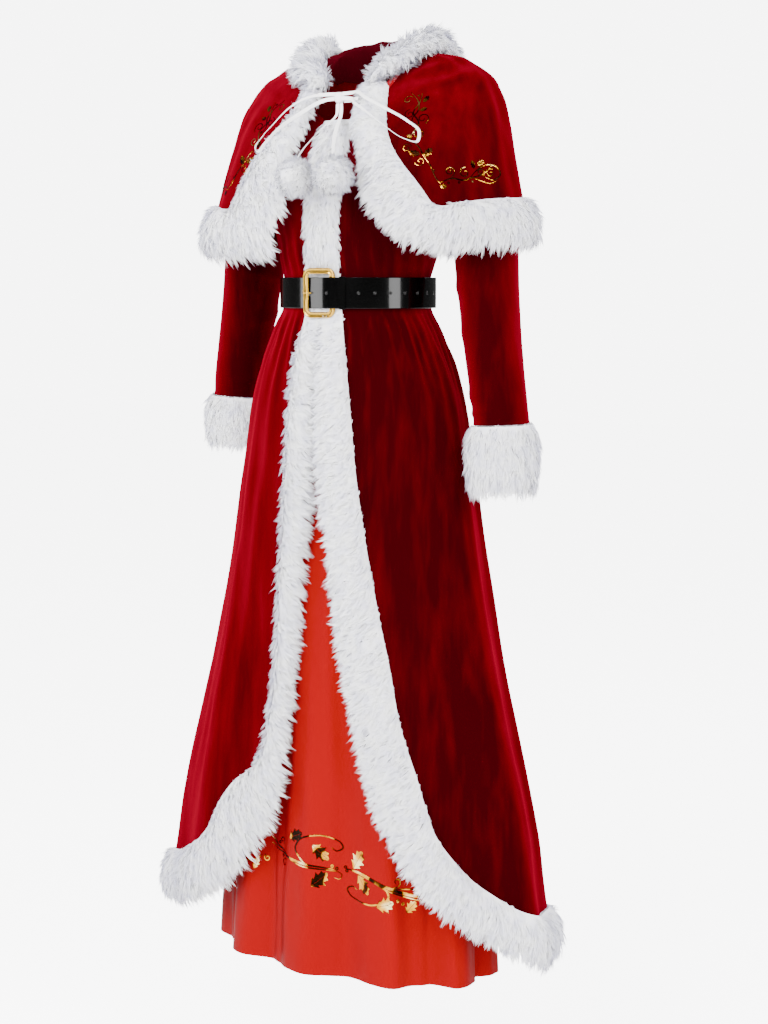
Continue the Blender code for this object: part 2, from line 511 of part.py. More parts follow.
def build_sleeves(velvet, fur):
    """Set-in sleeves, each with a thick fur cuff at its end."""
    lengths = {"left": ((0.0048, -0.0045, -0.0935), 1.0), "right": ((0.0150, -0.0230, -0.0720), -1.0)}
    for name, table in (("left", SLEEVE_LEFT), ("right", SLEEVE_RIGHT)):
        run, sign = lengths[name]
        rings = sleeve_rings(table, sign)
        normal = away_from(normals(rings, closed=True), rings, rings.mean(axis=1, keepdims=True))
        cloth("sleeve_" + name, rings, normal, velvet, closed=True, cuts=((0, ALL, 0),))
        last = rings[-1]
        middle = last.mean(axis=0)
        run = np.array(run)
        steps = np.array([0.004, 0.10, 0.40, 0.75, 1.0])
        swell = np.array([1.10, 1.24, 1.30, 1.27, 1.14])
        spokes = last - middle
        outer = np.stack([middle + run * s + spokes * g for s, g in zip(steps, swell)])
        inner = np.stack([middle + run * s + spokes * 0.90 for s in steps])
        wall("cuff_fur_" + name, outer, inner, fur, closed=True)


def build_cape(velvet, fur):
    """Capelet body with curved fronts, its front fur bands and its hem band round the back."""
    along = 7
    patches = {}
    for name, sign, table in (("left", 1.0, CAPE_EDGE_LEFT), ("right", -1.0, CAPE_EDGE_RIGHT)):
        front, hem = edge_path(table, "velvet", sign, CAPE_ROWS, along)
        top = np.stack([sign * np.array([20.0, 24.0, 30.0, 42.0, 58.0, 74.0, 90.0]),
                        np.array([-0.018, 0.004, 0.021, 0.031, 0.0355, 0.0385, 0.0395])], axis=-1)
        side_z = top[-1, 1] + (hem[-1, 1] - top[-1, 1]) * np.array(CAPE_ROWS) ** 1.6
        side = np.stack([np.full(len(CAPE_ROWS), sign * 90.0), side_z], axis=-1)
        hem[-1, 0] = sign * 90.0
        patches[name] = coons(front, side, top, hem, CAPE_ROWS)
        edge = np.concatenate([front, hem[1:]])
        free = np.concatenate(edge_path(table, "fur", sign, CAPE_ROWS, along))
        free = np.delete(free, len(CAPE_ROWS), axis=0)
        free[-1, 0] = edge[-1, 0] = sign * 89.9
        fur_band("cape_fur_front_" + name, edge, free, cape_surface, fur, 0.017)
    angles = np.linspace(90.0, 270.0, 17)
    lift = 0.5 - 0.5 * np.cos(np.radians((angles - 90.0) * 2.0))
    hem_z = -0.186 - 0.010 * lift
    back_z = 0.0395 + (hem_z - 0.0395)[None, :] * np.array(CAPE_ROWS)[:, None] ** 1.6
    back = np.stack([angles[None, :] + 0.0 * back_z, back_z], axis=-1)
    right = patches["right"][:, ::-1] + np.array([360.0, 0.0])
    patch = np.concatenate([patches["left"], back[:, 1:-1], right], axis=1)
    patch[..., 0] = np.where(patch[..., 0] > 180.0, patch[..., 0] - 360.0, patch[..., 0])
    cloth_on("cape", cape_surface, patch, velvet)
    angles = np.linspace(90.1, 269.9, 17)
    fur_band("cape_fur_back", np.stack([angles, hem_z], axis=-1), np.stack([angles, hem_z - 0.062], axis=-1),
             cape_surface, fur, 0.017)


def hood_grid(angles):
    """Hood section at each angle: a plain strip under the ring at the sides, the full bag at the back."""
    mirrored = np.minimum(angles, 360.0 - angles)
    read = {key: smooth(mirrored, HOOD["angle"], HOOD[key]) for key in HOOD if key != "angle"}
    begun = np.clip((mirrored - BAG_ANGLES[0]) / (BAG_ANGLES[1] - BAG_ANGLES[0]), 0.0, 1.0)
    full = np.clip((mirrored - BAG_ANGLES[1]) / (BAG_ANGLES[2] - BAG_ANGLES[1]), 0.0, 1.0)
    share = np.linspace(0.0, 1.0, len(BAG["r"]))[:, None]
    rim_r = read["ring_r"] - 0.5 * RING_HALF_WIDTH * (1 - begun)
    rim_z = read["ring_z"] - RING_HALF_HEIGHT * (1 - 0.134 * (1 - begun)) - RIM_DROP
    bulge = 0.48 * (rim_r - read["seam_r"]) * share * (1 - share)
    strip = (read["seam_r"] + (rim_r - read["seam_r"]) * share, read["seam_z"] + (rim_z - read["seam_z"]) * share + bulge)
    mixed = []
    for key, plain, rim in (("r", strip[0], rim_r), ("z", strip[1], rim_z)):
        start, whole = np.array(BAG_START[key])[:, None], np.array(BAG[key])[:, None]
        path = (plain * (1 - begun) + start * begun) * (1 - full) + whole * full
        mixed.append(path + (rim - path[-1])[None, :] * share ** 4)
    return polar(angles[None, :] + 0.0 * mixed[0], mixed[0], mixed[1])


def polar(angle, distance, z):
    """Point at an angle in degrees from the front round the neck's axis."""
    turn = np.radians(angle)
    return np.stack([distance * np.sin(turn), NECK_Y - distance * np.cos(turn), z], axis=-1)


def build_hood(velvet, fur):
    """Hood laid back: two halves from the neck seam over the roll into the bag, and the fur on its edge."""
    for name, angles in (("left", np.linspace(42.0, 179.8, 12)), ("right", np.linspace(180.2, 318.0, 12))):
        grid = hood_grid(angles)
        column = -1 if name == "left" else 0
        normal = normals(grid) * np.sign(np.sum(normals(grid)[:2] * (grid[:2] - (0.0, NECK_Y, 0.04))))
        cloth("hood_" + name, grid, normal, velvet, 0.0012, cuts=((ALL, column, 0),))
    angles = np.linspace(42.0, 318.0, 37)
    mirrored = np.minimum(angles, 360.0 - angles)
    ring_r = smooth(mirrored, HOOD["angle"], HOOD["ring_r"])
    ring_z = smooth(mirrored, HOOD["angle"], HOOD["ring_z"])
    centres = polar(angles, ring_r, ring_z)
    swell = np.clip(np.minimum(angles - 42.0, 318.0 - angles) / 10.0, 0.0, 1.0) ** 0.5 * 0.35 + 0.65
    across = polar(angles, RING_HALF_WIDTH * swell, 0.0 * angles) - np.array([0.0, NECK_Y, 0.0])
    upright = np.zeros_like(across)
    upright[:, 2] = RING_HALF_HEIGHT
    tube("hood_fur", centres, across, upright, fur)


def belt_point(angle, z, out):
    """Point of the belt's surface, let out from the dress by out."""
    turn = np.radians(angle)
    half = SKIRT["half"][-2] + out
    depth = SKIRT["front"][-2] + out
    return np.stack([half * np.sin(turn), -depth * np.cos(turn), z + 0.0 * turn], axis=-1)


def build_belt(leather, metal):
    """Strap round the waist, its overlapping tail, a keeper, and the buckle's frame and prong."""
    low, high = WAIST_Z - BELT_HEIGHT / 2, WAIST_Z + BELT_HEIGHT / 2
    z = np.array([high, WAIST_Z, low])[:, None]
    inner_out = 0.0020
    spans = (("belt_strap", np.linspace(0.0, 360.0, 48, endpoint=False), inner_out, True),
             ("belt_tail", np.linspace(-7.0, 118.0, 18), inner_out + BELT_THICK + 2 * SEAM, False))
    for name, angles, out, closed in spans:
        outer = belt_point(angles[None, :] + 0.0 * z, z, out + BELT_THICK)
        inner = belt_point(angles[None, :] + 0.0 * z, z, out)
        wall(name, outer, inner, leather, closed)
    out = inner_out + 2 * BELT_THICK + 3 * SEAM
    keeper_z = np.array([high + 0.001, WAIST_Z, low - 0.001])[:, None]
    angles = np.linspace(15.5, 20.0, 3)
    wall("belt_keeper", belt_point(angles[None, :] + 0.0 * keeper_z, keeper_z, out + 0.0015),
         belt_point(angles[None, :] + 0.0 * keeper_z, keeper_z, out), leather)
    build_buckle(metal, out)


def build_buckle(metal, out):
    """Rounded rectangular frame swept round its own outline, and the prong across its near bar."""
    half_width, half_height, corner, bar, thick = 0.0225, 0.0330, 0.008, 0.0045, 0.0019
    face = SKIRT["front"][-2] + out
    y = -(0.990 * face + thick + SEAM)
    centres, across = [], []
    for cx, cz, first in ((1, 1, 0), (-1, 1, 90), (-1, -1, 180), (1, -1, 270)):
        for step in (0, 45, 90):
            turn = math.radians(first + step)
            centres.append((cx * (half_width - corner) + corner * math.cos(turn), y,
                            WAIST_Z + cz * (half_height - corner) + corner * math.sin(turn)))
            across.append((bar * math.cos(turn), 0.0, bar * math.sin(turn)))
    centres, across = np.array(centres), np.array(across)
    upright = np.zeros_like(across)
    upright[:, 1] = thick
    tube("buckle_frame", centres, across, upright, metal, sides=6, closed_path=True)
    span = np.array([-half_width + bar + SEAM, -0.004])
    grid = np.stack([np.stack([span, span * 0 - face - SEAM - 0.0022, span * 0 + WAIST_Z + s], axis=-1)
                     for s in (0.0016, -0.0016)])
    wall("buckle_prong", grid, grid + np.array([0.0, 0.0022, 0.0]), metal)


def ribbon_points(route):
    """Points every 14 mm or so of a smooth curve through the route."""
    route = np.array(route)
    knots = np.concatenate([[0.0], np.cumsum(np.linalg.norm(np.diff(route, axis=0), axis=1))])
    count = max(4, int(round(knots[-1] / 0.0150)) + 1)
    at = np.linspace(0.0, knots[-1], count)
    return np.stack([smooth(at, knots, route[:, axis]) for axis in range(3)], axis=-1)


def build_ribbons(ribbon, fur):
    """Bow and tails of the tie, its knot, and a pompom with short locks on each tail."""
    for name, route in TIE_ROUTES.items():
        points = ribbon_points(route)
        curve = bpy.data.curves.new(name, "CURVE")
        curve.dimensions = "3D"
        curve.bevel_depth = RIBBON / 2 * 0.9
        curve.bevel_resolution = 2
        curve.use_fill_caps = True
        spline = curve.splines.new("POLY")
        spline.points.add(len(points) - 1)
        for target, point in zip(spline.points, points):
            target.co = (*point, 1.0)
        item = bpy.data.objects.new(name, curve)
        bpy.context.scene.collection.objects.link(item)
        curve.materials.append(ribbon)
    bm = bmesh.new()
    bmesh.ops.create_cube(bm, size=1.0)
    bmesh.ops.scale(bm, vec=KNOT_SIZE, verts=bm.verts)
    bmesh.ops.translate(bm, vec=KNOT, verts=bm.verts)
    add_object("tie_knot", bm, ribbon)
    for name, centre in POMPOMS.items():
        build_pompom(name, centre, fur)


def build_pompom(name, centre, fur):
    """Ball with eighty three-sided locks, each raised to a point from a face of the core."""
    bm = bmesh.new()
    bmesh.ops.create_icosphere(bm, subdivisions=2, radius=POMPOM_CORE)
    for face in list(bm.faces):
        reach = POMPOM_REACH * (1.0 - 0.06 * ((face.index * 7) % 5) / 4)
        tip = bm.verts.new(face.calc_center_median().normalized() * reach)
        corners = list(face.verts)
        bm.faces.remove(face)
        for i in range(3):
            bm.faces.new((corners[i], corners[(i + 1) % 3], tip))
    bmesh.ops.translate(bm, vec=centre, verts=bm.verts)
    add_object(name, bm, fur)


def main():
    clear_scene()
    velvet = make_material("velvet", (0.25, 0.0, 0.012), 0.62)
    lining = make_material("hood_velvet", (0.12, 0.008, 0.015), 0.85)
    satin = make_material("satin", (0.72, 0.03, 0.015), 0.38)
    fur = make_material("fur", (0.90, 0.89, 0.93), 0.90)
    leather = make_material("patent", (0.006, 0.006, 0.007), 0.15)
    metal = make_material("gold_metal", (0.75, 0.56, 0.28), 0.28, 1.0)
    ribbon = make_material("ribbon", (0.90, 0.88, 0.88), 0.45)
    build_overskirt(velvet, fur)
    build_underskirt(satin)
    build_bodice(velvet, fur)
    build_sleeves(velvet, fur)
    build_cape(velvet, fur)
    build_hood(lining, fur)
    build_belt(leather, metal)
    build_ribbons(ribbon, fur)


main()
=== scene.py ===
import math

import bpy
import numpy as np
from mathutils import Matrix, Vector


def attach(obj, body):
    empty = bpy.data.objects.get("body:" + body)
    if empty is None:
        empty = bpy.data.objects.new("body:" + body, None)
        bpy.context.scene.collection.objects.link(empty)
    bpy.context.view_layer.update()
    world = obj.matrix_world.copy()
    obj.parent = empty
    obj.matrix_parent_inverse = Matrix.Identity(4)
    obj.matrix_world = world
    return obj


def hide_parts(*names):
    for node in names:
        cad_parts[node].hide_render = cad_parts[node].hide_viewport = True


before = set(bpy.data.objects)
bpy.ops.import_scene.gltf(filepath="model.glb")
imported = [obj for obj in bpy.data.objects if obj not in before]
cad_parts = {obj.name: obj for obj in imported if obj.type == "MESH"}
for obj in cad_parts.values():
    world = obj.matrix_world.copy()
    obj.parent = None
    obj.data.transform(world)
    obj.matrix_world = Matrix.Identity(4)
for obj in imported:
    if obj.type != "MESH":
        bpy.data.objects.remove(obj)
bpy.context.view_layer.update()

# sizes shared with the solids: metres, and degrees from the wearer's front towards the left side
waistZ = -0.327
armpitZ = -0.148
sideAngle = 95.0
seamGap = 0.004
velvetThick = 0.0013
sides = (("left", 1.0), ("right", -1.0))
upwards = np.array((0.0, 0.0, 1.0))


def between(values, slopes, index, t, step=1.0):
    # cubic through two rows: each value and each slope weighted by the share t of the way across
    rise = 3 * t ** 2 - 2 * t ** 3
    return (values[index] * (1 - rise) + values[index + 1] * rise
            + step * slopes[index] * (t ** 3 - 2 * t ** 2 + t)
            + step * slopes[index + 1] * (t ** 3 - t ** 2))


def smooth(at, places, values):
    # smooth curve through a table's values at their places, level beyond its ends
    places, values, at = (np.asarray(v, float) for v in (places, values, at))
    slopes = np.gradient(values, places)
    index = np.clip(np.searchsorted(places, at) - 1, 0, len(places) - 2)
    step = places[index + 1] - places[index]
    return between(values, slopes, index, np.clip((at - places[index]) / step, 0.0, 1.0), step)


def curve(values, at):
    # smooth curve through evenly numbered rows
    slopes = np.gradient(values, axis=0)
    index = np.clip(at.astype(int), 0, len(values) - 2)
    return between(values, slopes, index, (at - index).reshape([-1] + [1] * (values.ndim - 1)))


def refine(grid, rows, columns, closed=False):
    # a coarse grid read through smooth curves; a closed one repeats its first column at the end
    grid = curve(grid, np.linspace(0.0, len(grid) - 1.0, rows))
    turned = np.swapaxes(grid, 0, 1)
    if closed:
        turned = np.concatenate([turned[-2:], turned, turned[:3]])
        at = 2.0 + np.linspace(0.0, grid.shape[1], columns)
    else:
        at = np.linspace(0.0, grid.shape[1] - 1.0, columns)
    return np.swapaxes(curve(turned, at), 0, 1)


def unit(vectors):
    # each vector over its own length
    return vectors / np.maximum(np.linalg.norm(vectors, axis=-1, keepdims=True), 1e-9)


def fade(value, low, high):
    # 0 below low, 1 above high, soft between
    t = np.clip((value - low) / (high - low), 0.0, 1.0)
    return t * t * (3 - 2 * t)


def together(*parts):
    # arrays of one shape, or that spread to one, side by side as the last axis
    return np.stack(np.broadcast_arrays(*parts), axis=-1)


def section(table, angle, z, spread=0.0):
    # half an ellipse in front and half behind: x = a sin t, y = shift - depth cos t
    turn = np.radians(angle)
    half, front, back = (smooth(z, table["z"], table[key]) + spread for key in ("half", "front", "back"))
    depth = np.where(np.cos(turn) > 0, front, back)
    y = smooth(z, table["z"], table["shift"]) - depth * np.cos(turn)
    return together(half * np.sin(turn), y, z)


def crease(angle, z, folds):
    # each fold is a rounded ridge along a leaning line: angle at its top, lean, width, height, top, bottom
    total = 0.0
    for centre, lean, width, height, top, bottom in folds:
        middle = centre + lean * (top - z)
        away = (angle - middle + 180.0) % 360.0 - 180.0
        lengthways = fade(-z, -top, -top + 0.06) * (1.0 - fade(-z, -bottom - 0.1, -bottom))
        total = total + height * np.exp(-(away / width) ** 2) * lengthways
    return total


def formNormals(form, angle, z):
    # the cross product of small steps round and up the form
    across = form(angle + 0.3, z) - form(angle - 0.3, z)
    up = form(angle, z + 0.0015) - form(angle, z - 0.0015)
    return unit(np.cross(across, up))


def gridNormals(grid, centre=None):
    # the cross product of a grid's own steps, pointing away from a centre where one is given
    normal = unit(np.cross(np.gradient(grid, axis=0), np.gradient(grid, axis=1)))
    if centre is not None:
        normal = normal * np.sign(np.sum(normal * (grid - np.asarray(centre))))
    return normal


def ringNormals(grid, centre):
    # a closed grid's normals, its first and last columns being one seam
    normal = gridNormals(grid, centre)
    normal[:, 0] = normal[:, -1] = unit(normal[:, 0] + normal[:, -1])
    return normal


def edgePath(table, part, sign, shares, along):
    # a front panel's edge as angles and heights: down to the table's corner row, then round the hem
    angle, z = np.array(table[part + "Angle"]), np.array(table[part + "Z"])
    corner = table["corner"]
    downZ = z[0] + (z[corner] - z[0]) * np.array(shares)
    down = together(smooth(-downZ, -z[:corner + 1], angle[:corner + 1]), downZ)
    rows = np.linspace(corner, len(z) - 1.0, along)
    places = np.arange(len(z), dtype=float)
    hem = together(smooth(rows, places, angle), smooth(rows, places, z))
    hem[0] = down[-1]
    return down * (sign, 1.0), hem * (sign, 1.0)


def coons(front, side, top, bottom, shares):
    # a patch between four edges: the blend of each pair, added, less the blend of the corners
    v = np.array(shares)[:, None, None]
    u = np.linspace(0.0, 1.0, len(top))[None, :, None]
    across = (1 - u) * front[:, None, :] + u * side[:, None, :]
    ends = (1 - v) * top[None, :, :] + v * bottom[None, :, :]
    corners = ((1 - u) * (1 - v) * top[0] + u * (1 - v) * top[-1]
               + (1 - u) * v * bottom[0] + u * v * bottom[-1])
    return across + ends - corners


def line(start, end, count):
    # evenly spaced points from start to end
    return np.linspace(np.asarray(start, float), np.asarray(end, float), count)


def frontPanel(table, sign, seam, shares, along, top=None, topZ=None, ease=1.0):
    # a front's cloth as a patch of angles and heights, with its velvet's edge and its fur's free edge; without
    # a top edge of its own it starts level at topZ
    front, hem = edgePath(table, "velvet", sign, shares, along)
    freeDown, freeHem = edgePath(table, "fur", sign, shares, along)
    free = np.concatenate([freeDown, freeHem[1:]])
    hem[-1, 0] = free[-1, 0] = seam
    if top is None:
        front[0, 1] = free[0, 1] = topZ
        top = line(front[0], (seam, topZ), along)
    side = together(seam, top[-1, 1] + (hem[-1, 1] - top[-1, 1]) * shares ** ease)
    return coons(front, side, top, hem, shares), np.concatenate([front, hem[1:]]), free


def ball(rows, columns):
    # directions over a sphere, from its lowest point to its highest
    turn = np.linspace(0.0, 2 * math.pi, columns)[None, :]
    lift = np.linspace(-math.pi / 2, math.pi / 2, rows)[:, None]
    way = together(np.cos(lift) * np.cos(turn), np.cos(lift) * np.sin(turn), np.sin(lift))
    return turn, lift, way


def pathLength(points):
    # the sum of the steps between neighbouring points
    return float(np.sum(np.linalg.norm(np.diff(points, axis=0), axis=1)))


def addMesh(name, points, faces, material, normals=None):
    # faces are blocks of vertex numbers, each block with one number of corners
    mesh = bpy.data.meshes.new(name)
    points = np.asarray(points, np.float32)
    mesh.vertices.add(len(points))
    mesh.vertices.foreach_set("co", points.ravel())
    loops = np.concatenate([np.asarray(block, np.int32).ravel() for block in faces])
    counts = np.concatenate([np.full(len(block), np.shape(block)[1], np.int32) for block in faces])
    mesh.loops.add(len(loops))
    mesh.loops.foreach_set("vertex_index", loops)
    mesh.polygons.add(len(counts))
    mesh.polygons.foreach_set("loop_start", np.concatenate([[0], np.cumsum(counts)[:-1]]).astype(np.int32))
    mesh.polygons.foreach_set("loop_total", counts)
    mesh.update(calc_edges=True)
    mesh.validate()
    mesh.materials.append(material)
    mesh.shade_smooth()
    if normals is not None:
        mesh.normals_split_custom_set_from_vertices(np.asarray(normals, np.float32))
    piece = bpy.data.objects.new(name, mesh)
    bpy.context.scene.collection.objects.link(piece)
    return piece


def gridFaces(rows, columns, closed=False, offset=0, flip=False):
    # one four-cornered face for each cell; a closed grid joins its last column to its first
    i, j = np.meshgrid(np.arange(rows - 1), np.arange(columns if closed else columns - 1), indexing="ij")
    k = (j + 1) % columns
    quads = together(i * columns + j, i * columns + k, (i + 1) * columns + k, (i + 1) * columns + j)
    quads = quads.reshape(-1, 4) + offset
    return quads[:, ::-1] if flip else quads


def rodFaces(rows, columns, looped=False):
    # a section of so many columns carried along so many rows, capped at its ends or looped on itself
    faces = gridFaces(rows, columns, True)
    start, end = np.arange(columns)[None, :], (rows - 1) * columns + np.arange(columns)[None, :]
    if looped:
        return [faces, together(end, np.roll(end, -1), np.roll(start, -1), start).reshape(-1, 4)]
    return [faces, start[:, ::-1], end]


def outward(piece, sharp=None):
    # faces are turned so that the closed mesh has a positive volume; edges past the sharp angle stay crisp
    mesh = piece.data
    mesh.calc_loop_triangles()
    index = np.empty(len(mesh.loop_triangles) * 3, np.int32)
    mesh.loop_triangles.foreach_get("vertices", index)
    points = np.empty(len(mesh.vertices) * 3, np.float32)
    mesh.vertices.foreach_get("co", points)
    corner = points.reshape(-1, 3)[index.reshape(-1, 3)].astype(float)
    volume = np.sum(np.cross(corner[:, 0], corner[:, 1]) * corner[:, 2]) / 6.0
    if volume < 0.0:
        mesh.flip_normals()
    if sharp is not None:
        mesh.set_sharp_from_angle(angle=math.radians(sharp))


def secondMaterial(piece, material, first, last):
    # faces numbered from first up to last take the added material
    piece.data.materials.append(material)
    which = np.zeros(len(piece.data.polygons), np.int32)
    which[first:last] = 1
    piece.data.polygons.foreach_set("material_index", which)


def fasten(piece, node):
    # every piece rides on the one body, and takes the place of its plain solid
    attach(piece, "root")
    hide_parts(node)
    return piece


def shell(name, outer, normal, thickness, material, node, closed=False, inside=None):
    # thin wall: the outer grid, the same grid moved in along its normals, and rims between them
    rows, columns = outer.shape[:2]
    count = rows * columns
    points = np.concatenate([outer.reshape(-1, 3), (outer - normal * thickness).reshape(-1, 3)])
    faces = [gridFaces(rows, columns, closed), gridFaces(rows, columns, closed, count, True)]
    number = np.arange(count).reshape(rows, columns)
    ring = np.concatenate([number, number[:, :1]], axis=1) if closed else number
    rims = [(ring[0], True), (ring[-1], False)]
    if not closed:
        rims += [(number[:, 0], False), (number[:, -1], True)]
    for edge, turned in rims:
        rim = together(edge[:-1], edge[1:], count + edge[1:], count + edge[:-1])
        faces.append(rim[:, ::-1] if turned else rim)
    piece = addMesh(name, points, faces, material)
    if inside is not None:
        secondMaterial(piece, inside, len(faces[0]), 2 * len(faces[0]))
    outward(piece, 40.0)
    return fasten(piece, node)


def linear(hexCode):
    # an sRGB hex colour as linear values
    parts = [int(hexCode[i:i + 2], 16) / 255.0 for i in (0, 2, 4)]
    return tuple(c / 12.92 if c <= 0.04045 else ((c + 0.055) / 1.055) ** 2.4 for c in parts) + (1.0,)


def addNode(tree, kind, settings=(), links=(), stops=()):
    # a node with its settings, each an attribute or a socket's value, its links from other sockets, and a
    # colour ramp's stops
    made = tree.nodes.new("ShaderNode" + kind)
    for key, value in dict(settings).items():
        if isinstance(key, str) and hasattr(made, key):
            setattr(made, key, value)
        else:
            made.inputs[key].default_value = value
    for key, source in dict(links).items():
        tree.links.new(source, made.inputs[key])
    for number, (place, colour) in enumerate(stops):
        elements = made.color_ramp.elements
        stop = elements[number] if number < 2 else elements.new(place)
        stop.position, stop.color = place, linear(colour)
    return made


class Finish:
    # a Principled material: its plain values, and what its nodes lay over them
    def __init__(self, name, colour, roughness, **values):
        self.material = bpy.data.materials.new(name)
        self.material.use_nodes = True
        self.tree = self.material.node_tree
        self.shader = self.tree.nodes["Principled BSDF"]
        self.shader.inputs["Base Color"].default_value = linear(colour)
        self.shader.inputs["Roughness"].default_value = roughness
        self.material.diffuse_color = linear(colour)
        for key, value in values.items():
            self.shader.inputs[key.replace("_", " ")].default_value = value

    def add(self, kind, settings=(), links=(), stops=()):
        return addNode(self.tree, kind, settings, links, stops)

    def into(self, socket, source):
        self.tree.links.new(source, self.shader.inputs[socket])

    def pattern(self, scale, tall=1.0, detail=2.0, roughness=0.55):
        # noise with spots of about 1 / scale metres, drawn out upwards to 1 / tall times that
        place = self.add("TexCoord").outputs["Object"]
        mapped = self.add("Mapping", {"Scale": (1.0, 1.0, tall)}, {"Vector": place}).outputs["Vector"]
        return self.add("TexNoise", {"Scale": scale, "Detail": detail, "Roughness": roughness},
                        {"Vector": mapped}).outputs["Fac"]

    def relief(self, height, strength, depth):
        # the height pattern pressed into the surface, at most as deep as depth
        pressed = self.add("Bump", {"Strength": strength, "Distance": depth}, {"Height": height})
        self.into("Normal", pressed.outputs["Normal"])

    def shade(self, amount, stops):
        # the base colour read from a row of colours by an amount from 0 to 1
        self.into("Base Color", self.add("ValToRGB", links={"Fac": amount}, stops=stops).outputs["Color"])


# the camera stands where the photograph was taken from: ahead, to the wearer's left, a little high
cameraView = {"turn": 32.3, "tilt": 6.774, "target": (0.0358, 0.0227, -0.6714), "distance": 3.0211,
              "lens": 67.18, "sensor": 36.0, "reach": 60.0}
# four soft boxes round the costume: place, width and height, power
lampTarget = (0.0, 0.0, -0.65)
lamps = {"key_light": ((0.1, -3.2, 1.3), (1.6, 2.2), 285.0),
         "right_light": ((3.2, -1.3, 0.3), (1.2, 2.4), 120.0),
         "left_light": ((-2.6, -2.0, 0.2), (1.2, 2.4), 98.0),
         "rim_light": ((1.6, 2.8, 1.2), (1.6, 2.2), 120.0)}
# strength of the pale surroundings: on cloth, mirrored in gloss, and seen by the camera
surround = {"cloth": 2.0, "mirrored": 0.15, "seen": 7.0}
floorSize = {"half": 14, "z": -1.62, "glow": 5.15}


def placeCamera():
    size = cameraView
    turn, tilt = math.radians(size["turn"]), math.radians(size["tilt"])
    back = Vector((math.sin(turn) * math.cos(tilt), -math.cos(turn) * math.cos(tilt), math.sin(tilt)))
    data = bpy.data.cameras.new("camera")
    data.lens, data.sensor_width, data.clip_end = size["lens"], size["sensor"], size["reach"]
    camera = bpy.data.objects.new("camera", data)
    camera.location = Vector(size["target"]) + back * size["distance"]
    camera.rotation_euler = back.to_track_quat("Z", "Y").to_euler()
    bpy.context.scene.collection.objects.link(camera)
    bpy.context.scene.camera = camera


def placeLamps():
    for name, (place, size, power) in lamps.items():
        data = bpy.data.lights.new(name, "AREA")
        data.shape = "RECTANGLE"
        data.size, data.size_y = size
        data.energy = power
        lamp = bpy.data.objects.new(name, data)
        lamp.location = place
        lamp.rotation_euler = (Vector(place) - Vector(lampTarget)).to_track_quat("Z", "Y").to_euler()
        bpy.context.scene.collection.objects.link(lamp)


def placeSurround():
    world = bpy.data.worlds.new("studio")
    world.use_nodes = True
    tree = world.node_tree
    light = tree.nodes["Background"]
    light.inputs["Color"].default_value = linear("ffffff")
    rays = addNode(tree, "LightPath").outputs
    soft = addNode(tree, "MapRange", {"To Min": surround["cloth"], "To Max": surround["mirrored"]},
                   {"Value": rays["Is Glossy Ray"]})
    seen = addNode(tree, "MapRange", {"To Max": surround["seen"]},
                   {"Value": rays["Is Camera Ray"], "To Min": soft.outputs["Result"]})
    tree.links.new(seen.outputs["Result"], light.inputs["Strength"])
    bpy.context.scene.world = world


def placeFloor():
    # painted board, pale and matt; it glows a little to the camera alone, which hides its far line
    half, z = floorSize["half"], floorSize["z"]
    mesh = bpy.data.meshes.new("floor")
    mesh.from_pydata([(-half, -half, z), (half, -half, z), (half, half, z), (-half, half, z)], [], [(0, 1, 2, 3)])
    floor = bpy.data.objects.new("floor", mesh)
    bpy.context.scene.collection.objects.link(floor)
    pale = Finish("pale_floor", "f7f7f7", 0.95)
    pale.shader.inputs["Emission Color"].default_value = linear("ffffff")
    seen = pale.add("LightPath").outputs["Is Camera Ray"]
    glow = pale.add("MapRange", {"To Max": floorSize["glow"]}, {"Value": seen})
    pale.into("Emission Strength", glow.outputs["Result"])
    mesh.materials.append(pale.material)


placeCamera()
placeLamps()
placeSurround()
placeFloor()
print("camera, light and floor placed")


def velvetFinish(name, dark, middle, light):
    # polyester velvet, pile brushed by hand: its tone varies in patches of 140 mm and streaks of 18 mm, and painted
    # sheen leaves it dark where it faces the eye and brighter along folds and edges; its pile, too fine to show, is a
    # grain of 2.4 mm
    finish = Finish(name, middle, 0.55, Sheen_Weight=0.06, Sheen_Roughness=0.35, Specular_IOR_Level=0.0)
    finish.shader.inputs["Sheen Tint"].default_value = linear("d00c24")
    patches = finish.pattern(7.0, 0.28, 3.0, 0.6)
    streaks = finish.pattern(55.0, 0.13, 2.0, 0.6)
    # painted sheen: the base colour brightens where the cloth turns from the eye
    facing = finish.add("LayerWeight", {"Blend": 0.42}).outputs["Facing"]
    soft = finish.add("Math", {"operation": "MULTIPLY_ADD", 1: 0.58, 2: -0.29}, {0: patches}).outputs[0]
    fine = finish.add("Math", {"operation": "MULTIPLY_ADD", 1: 0.38, 2: -0.19}, {0: streaks}).outputs[0]
    both = finish.add("Math", {"operation": "ADD"}, {0: soft, 1: fine}).outputs[0]
    total = finish.add("Math", {"operation": "ADD", "use_clamp": True}, {0: both, 1: facing}).outputs[0]
    finish.shade(total, ((0.0, dark), (0.32, middle), (0.95, light)))
    finish.relief(finish.pattern(420.0, 0.5), 0.18, 0.0006)
    return finish.material


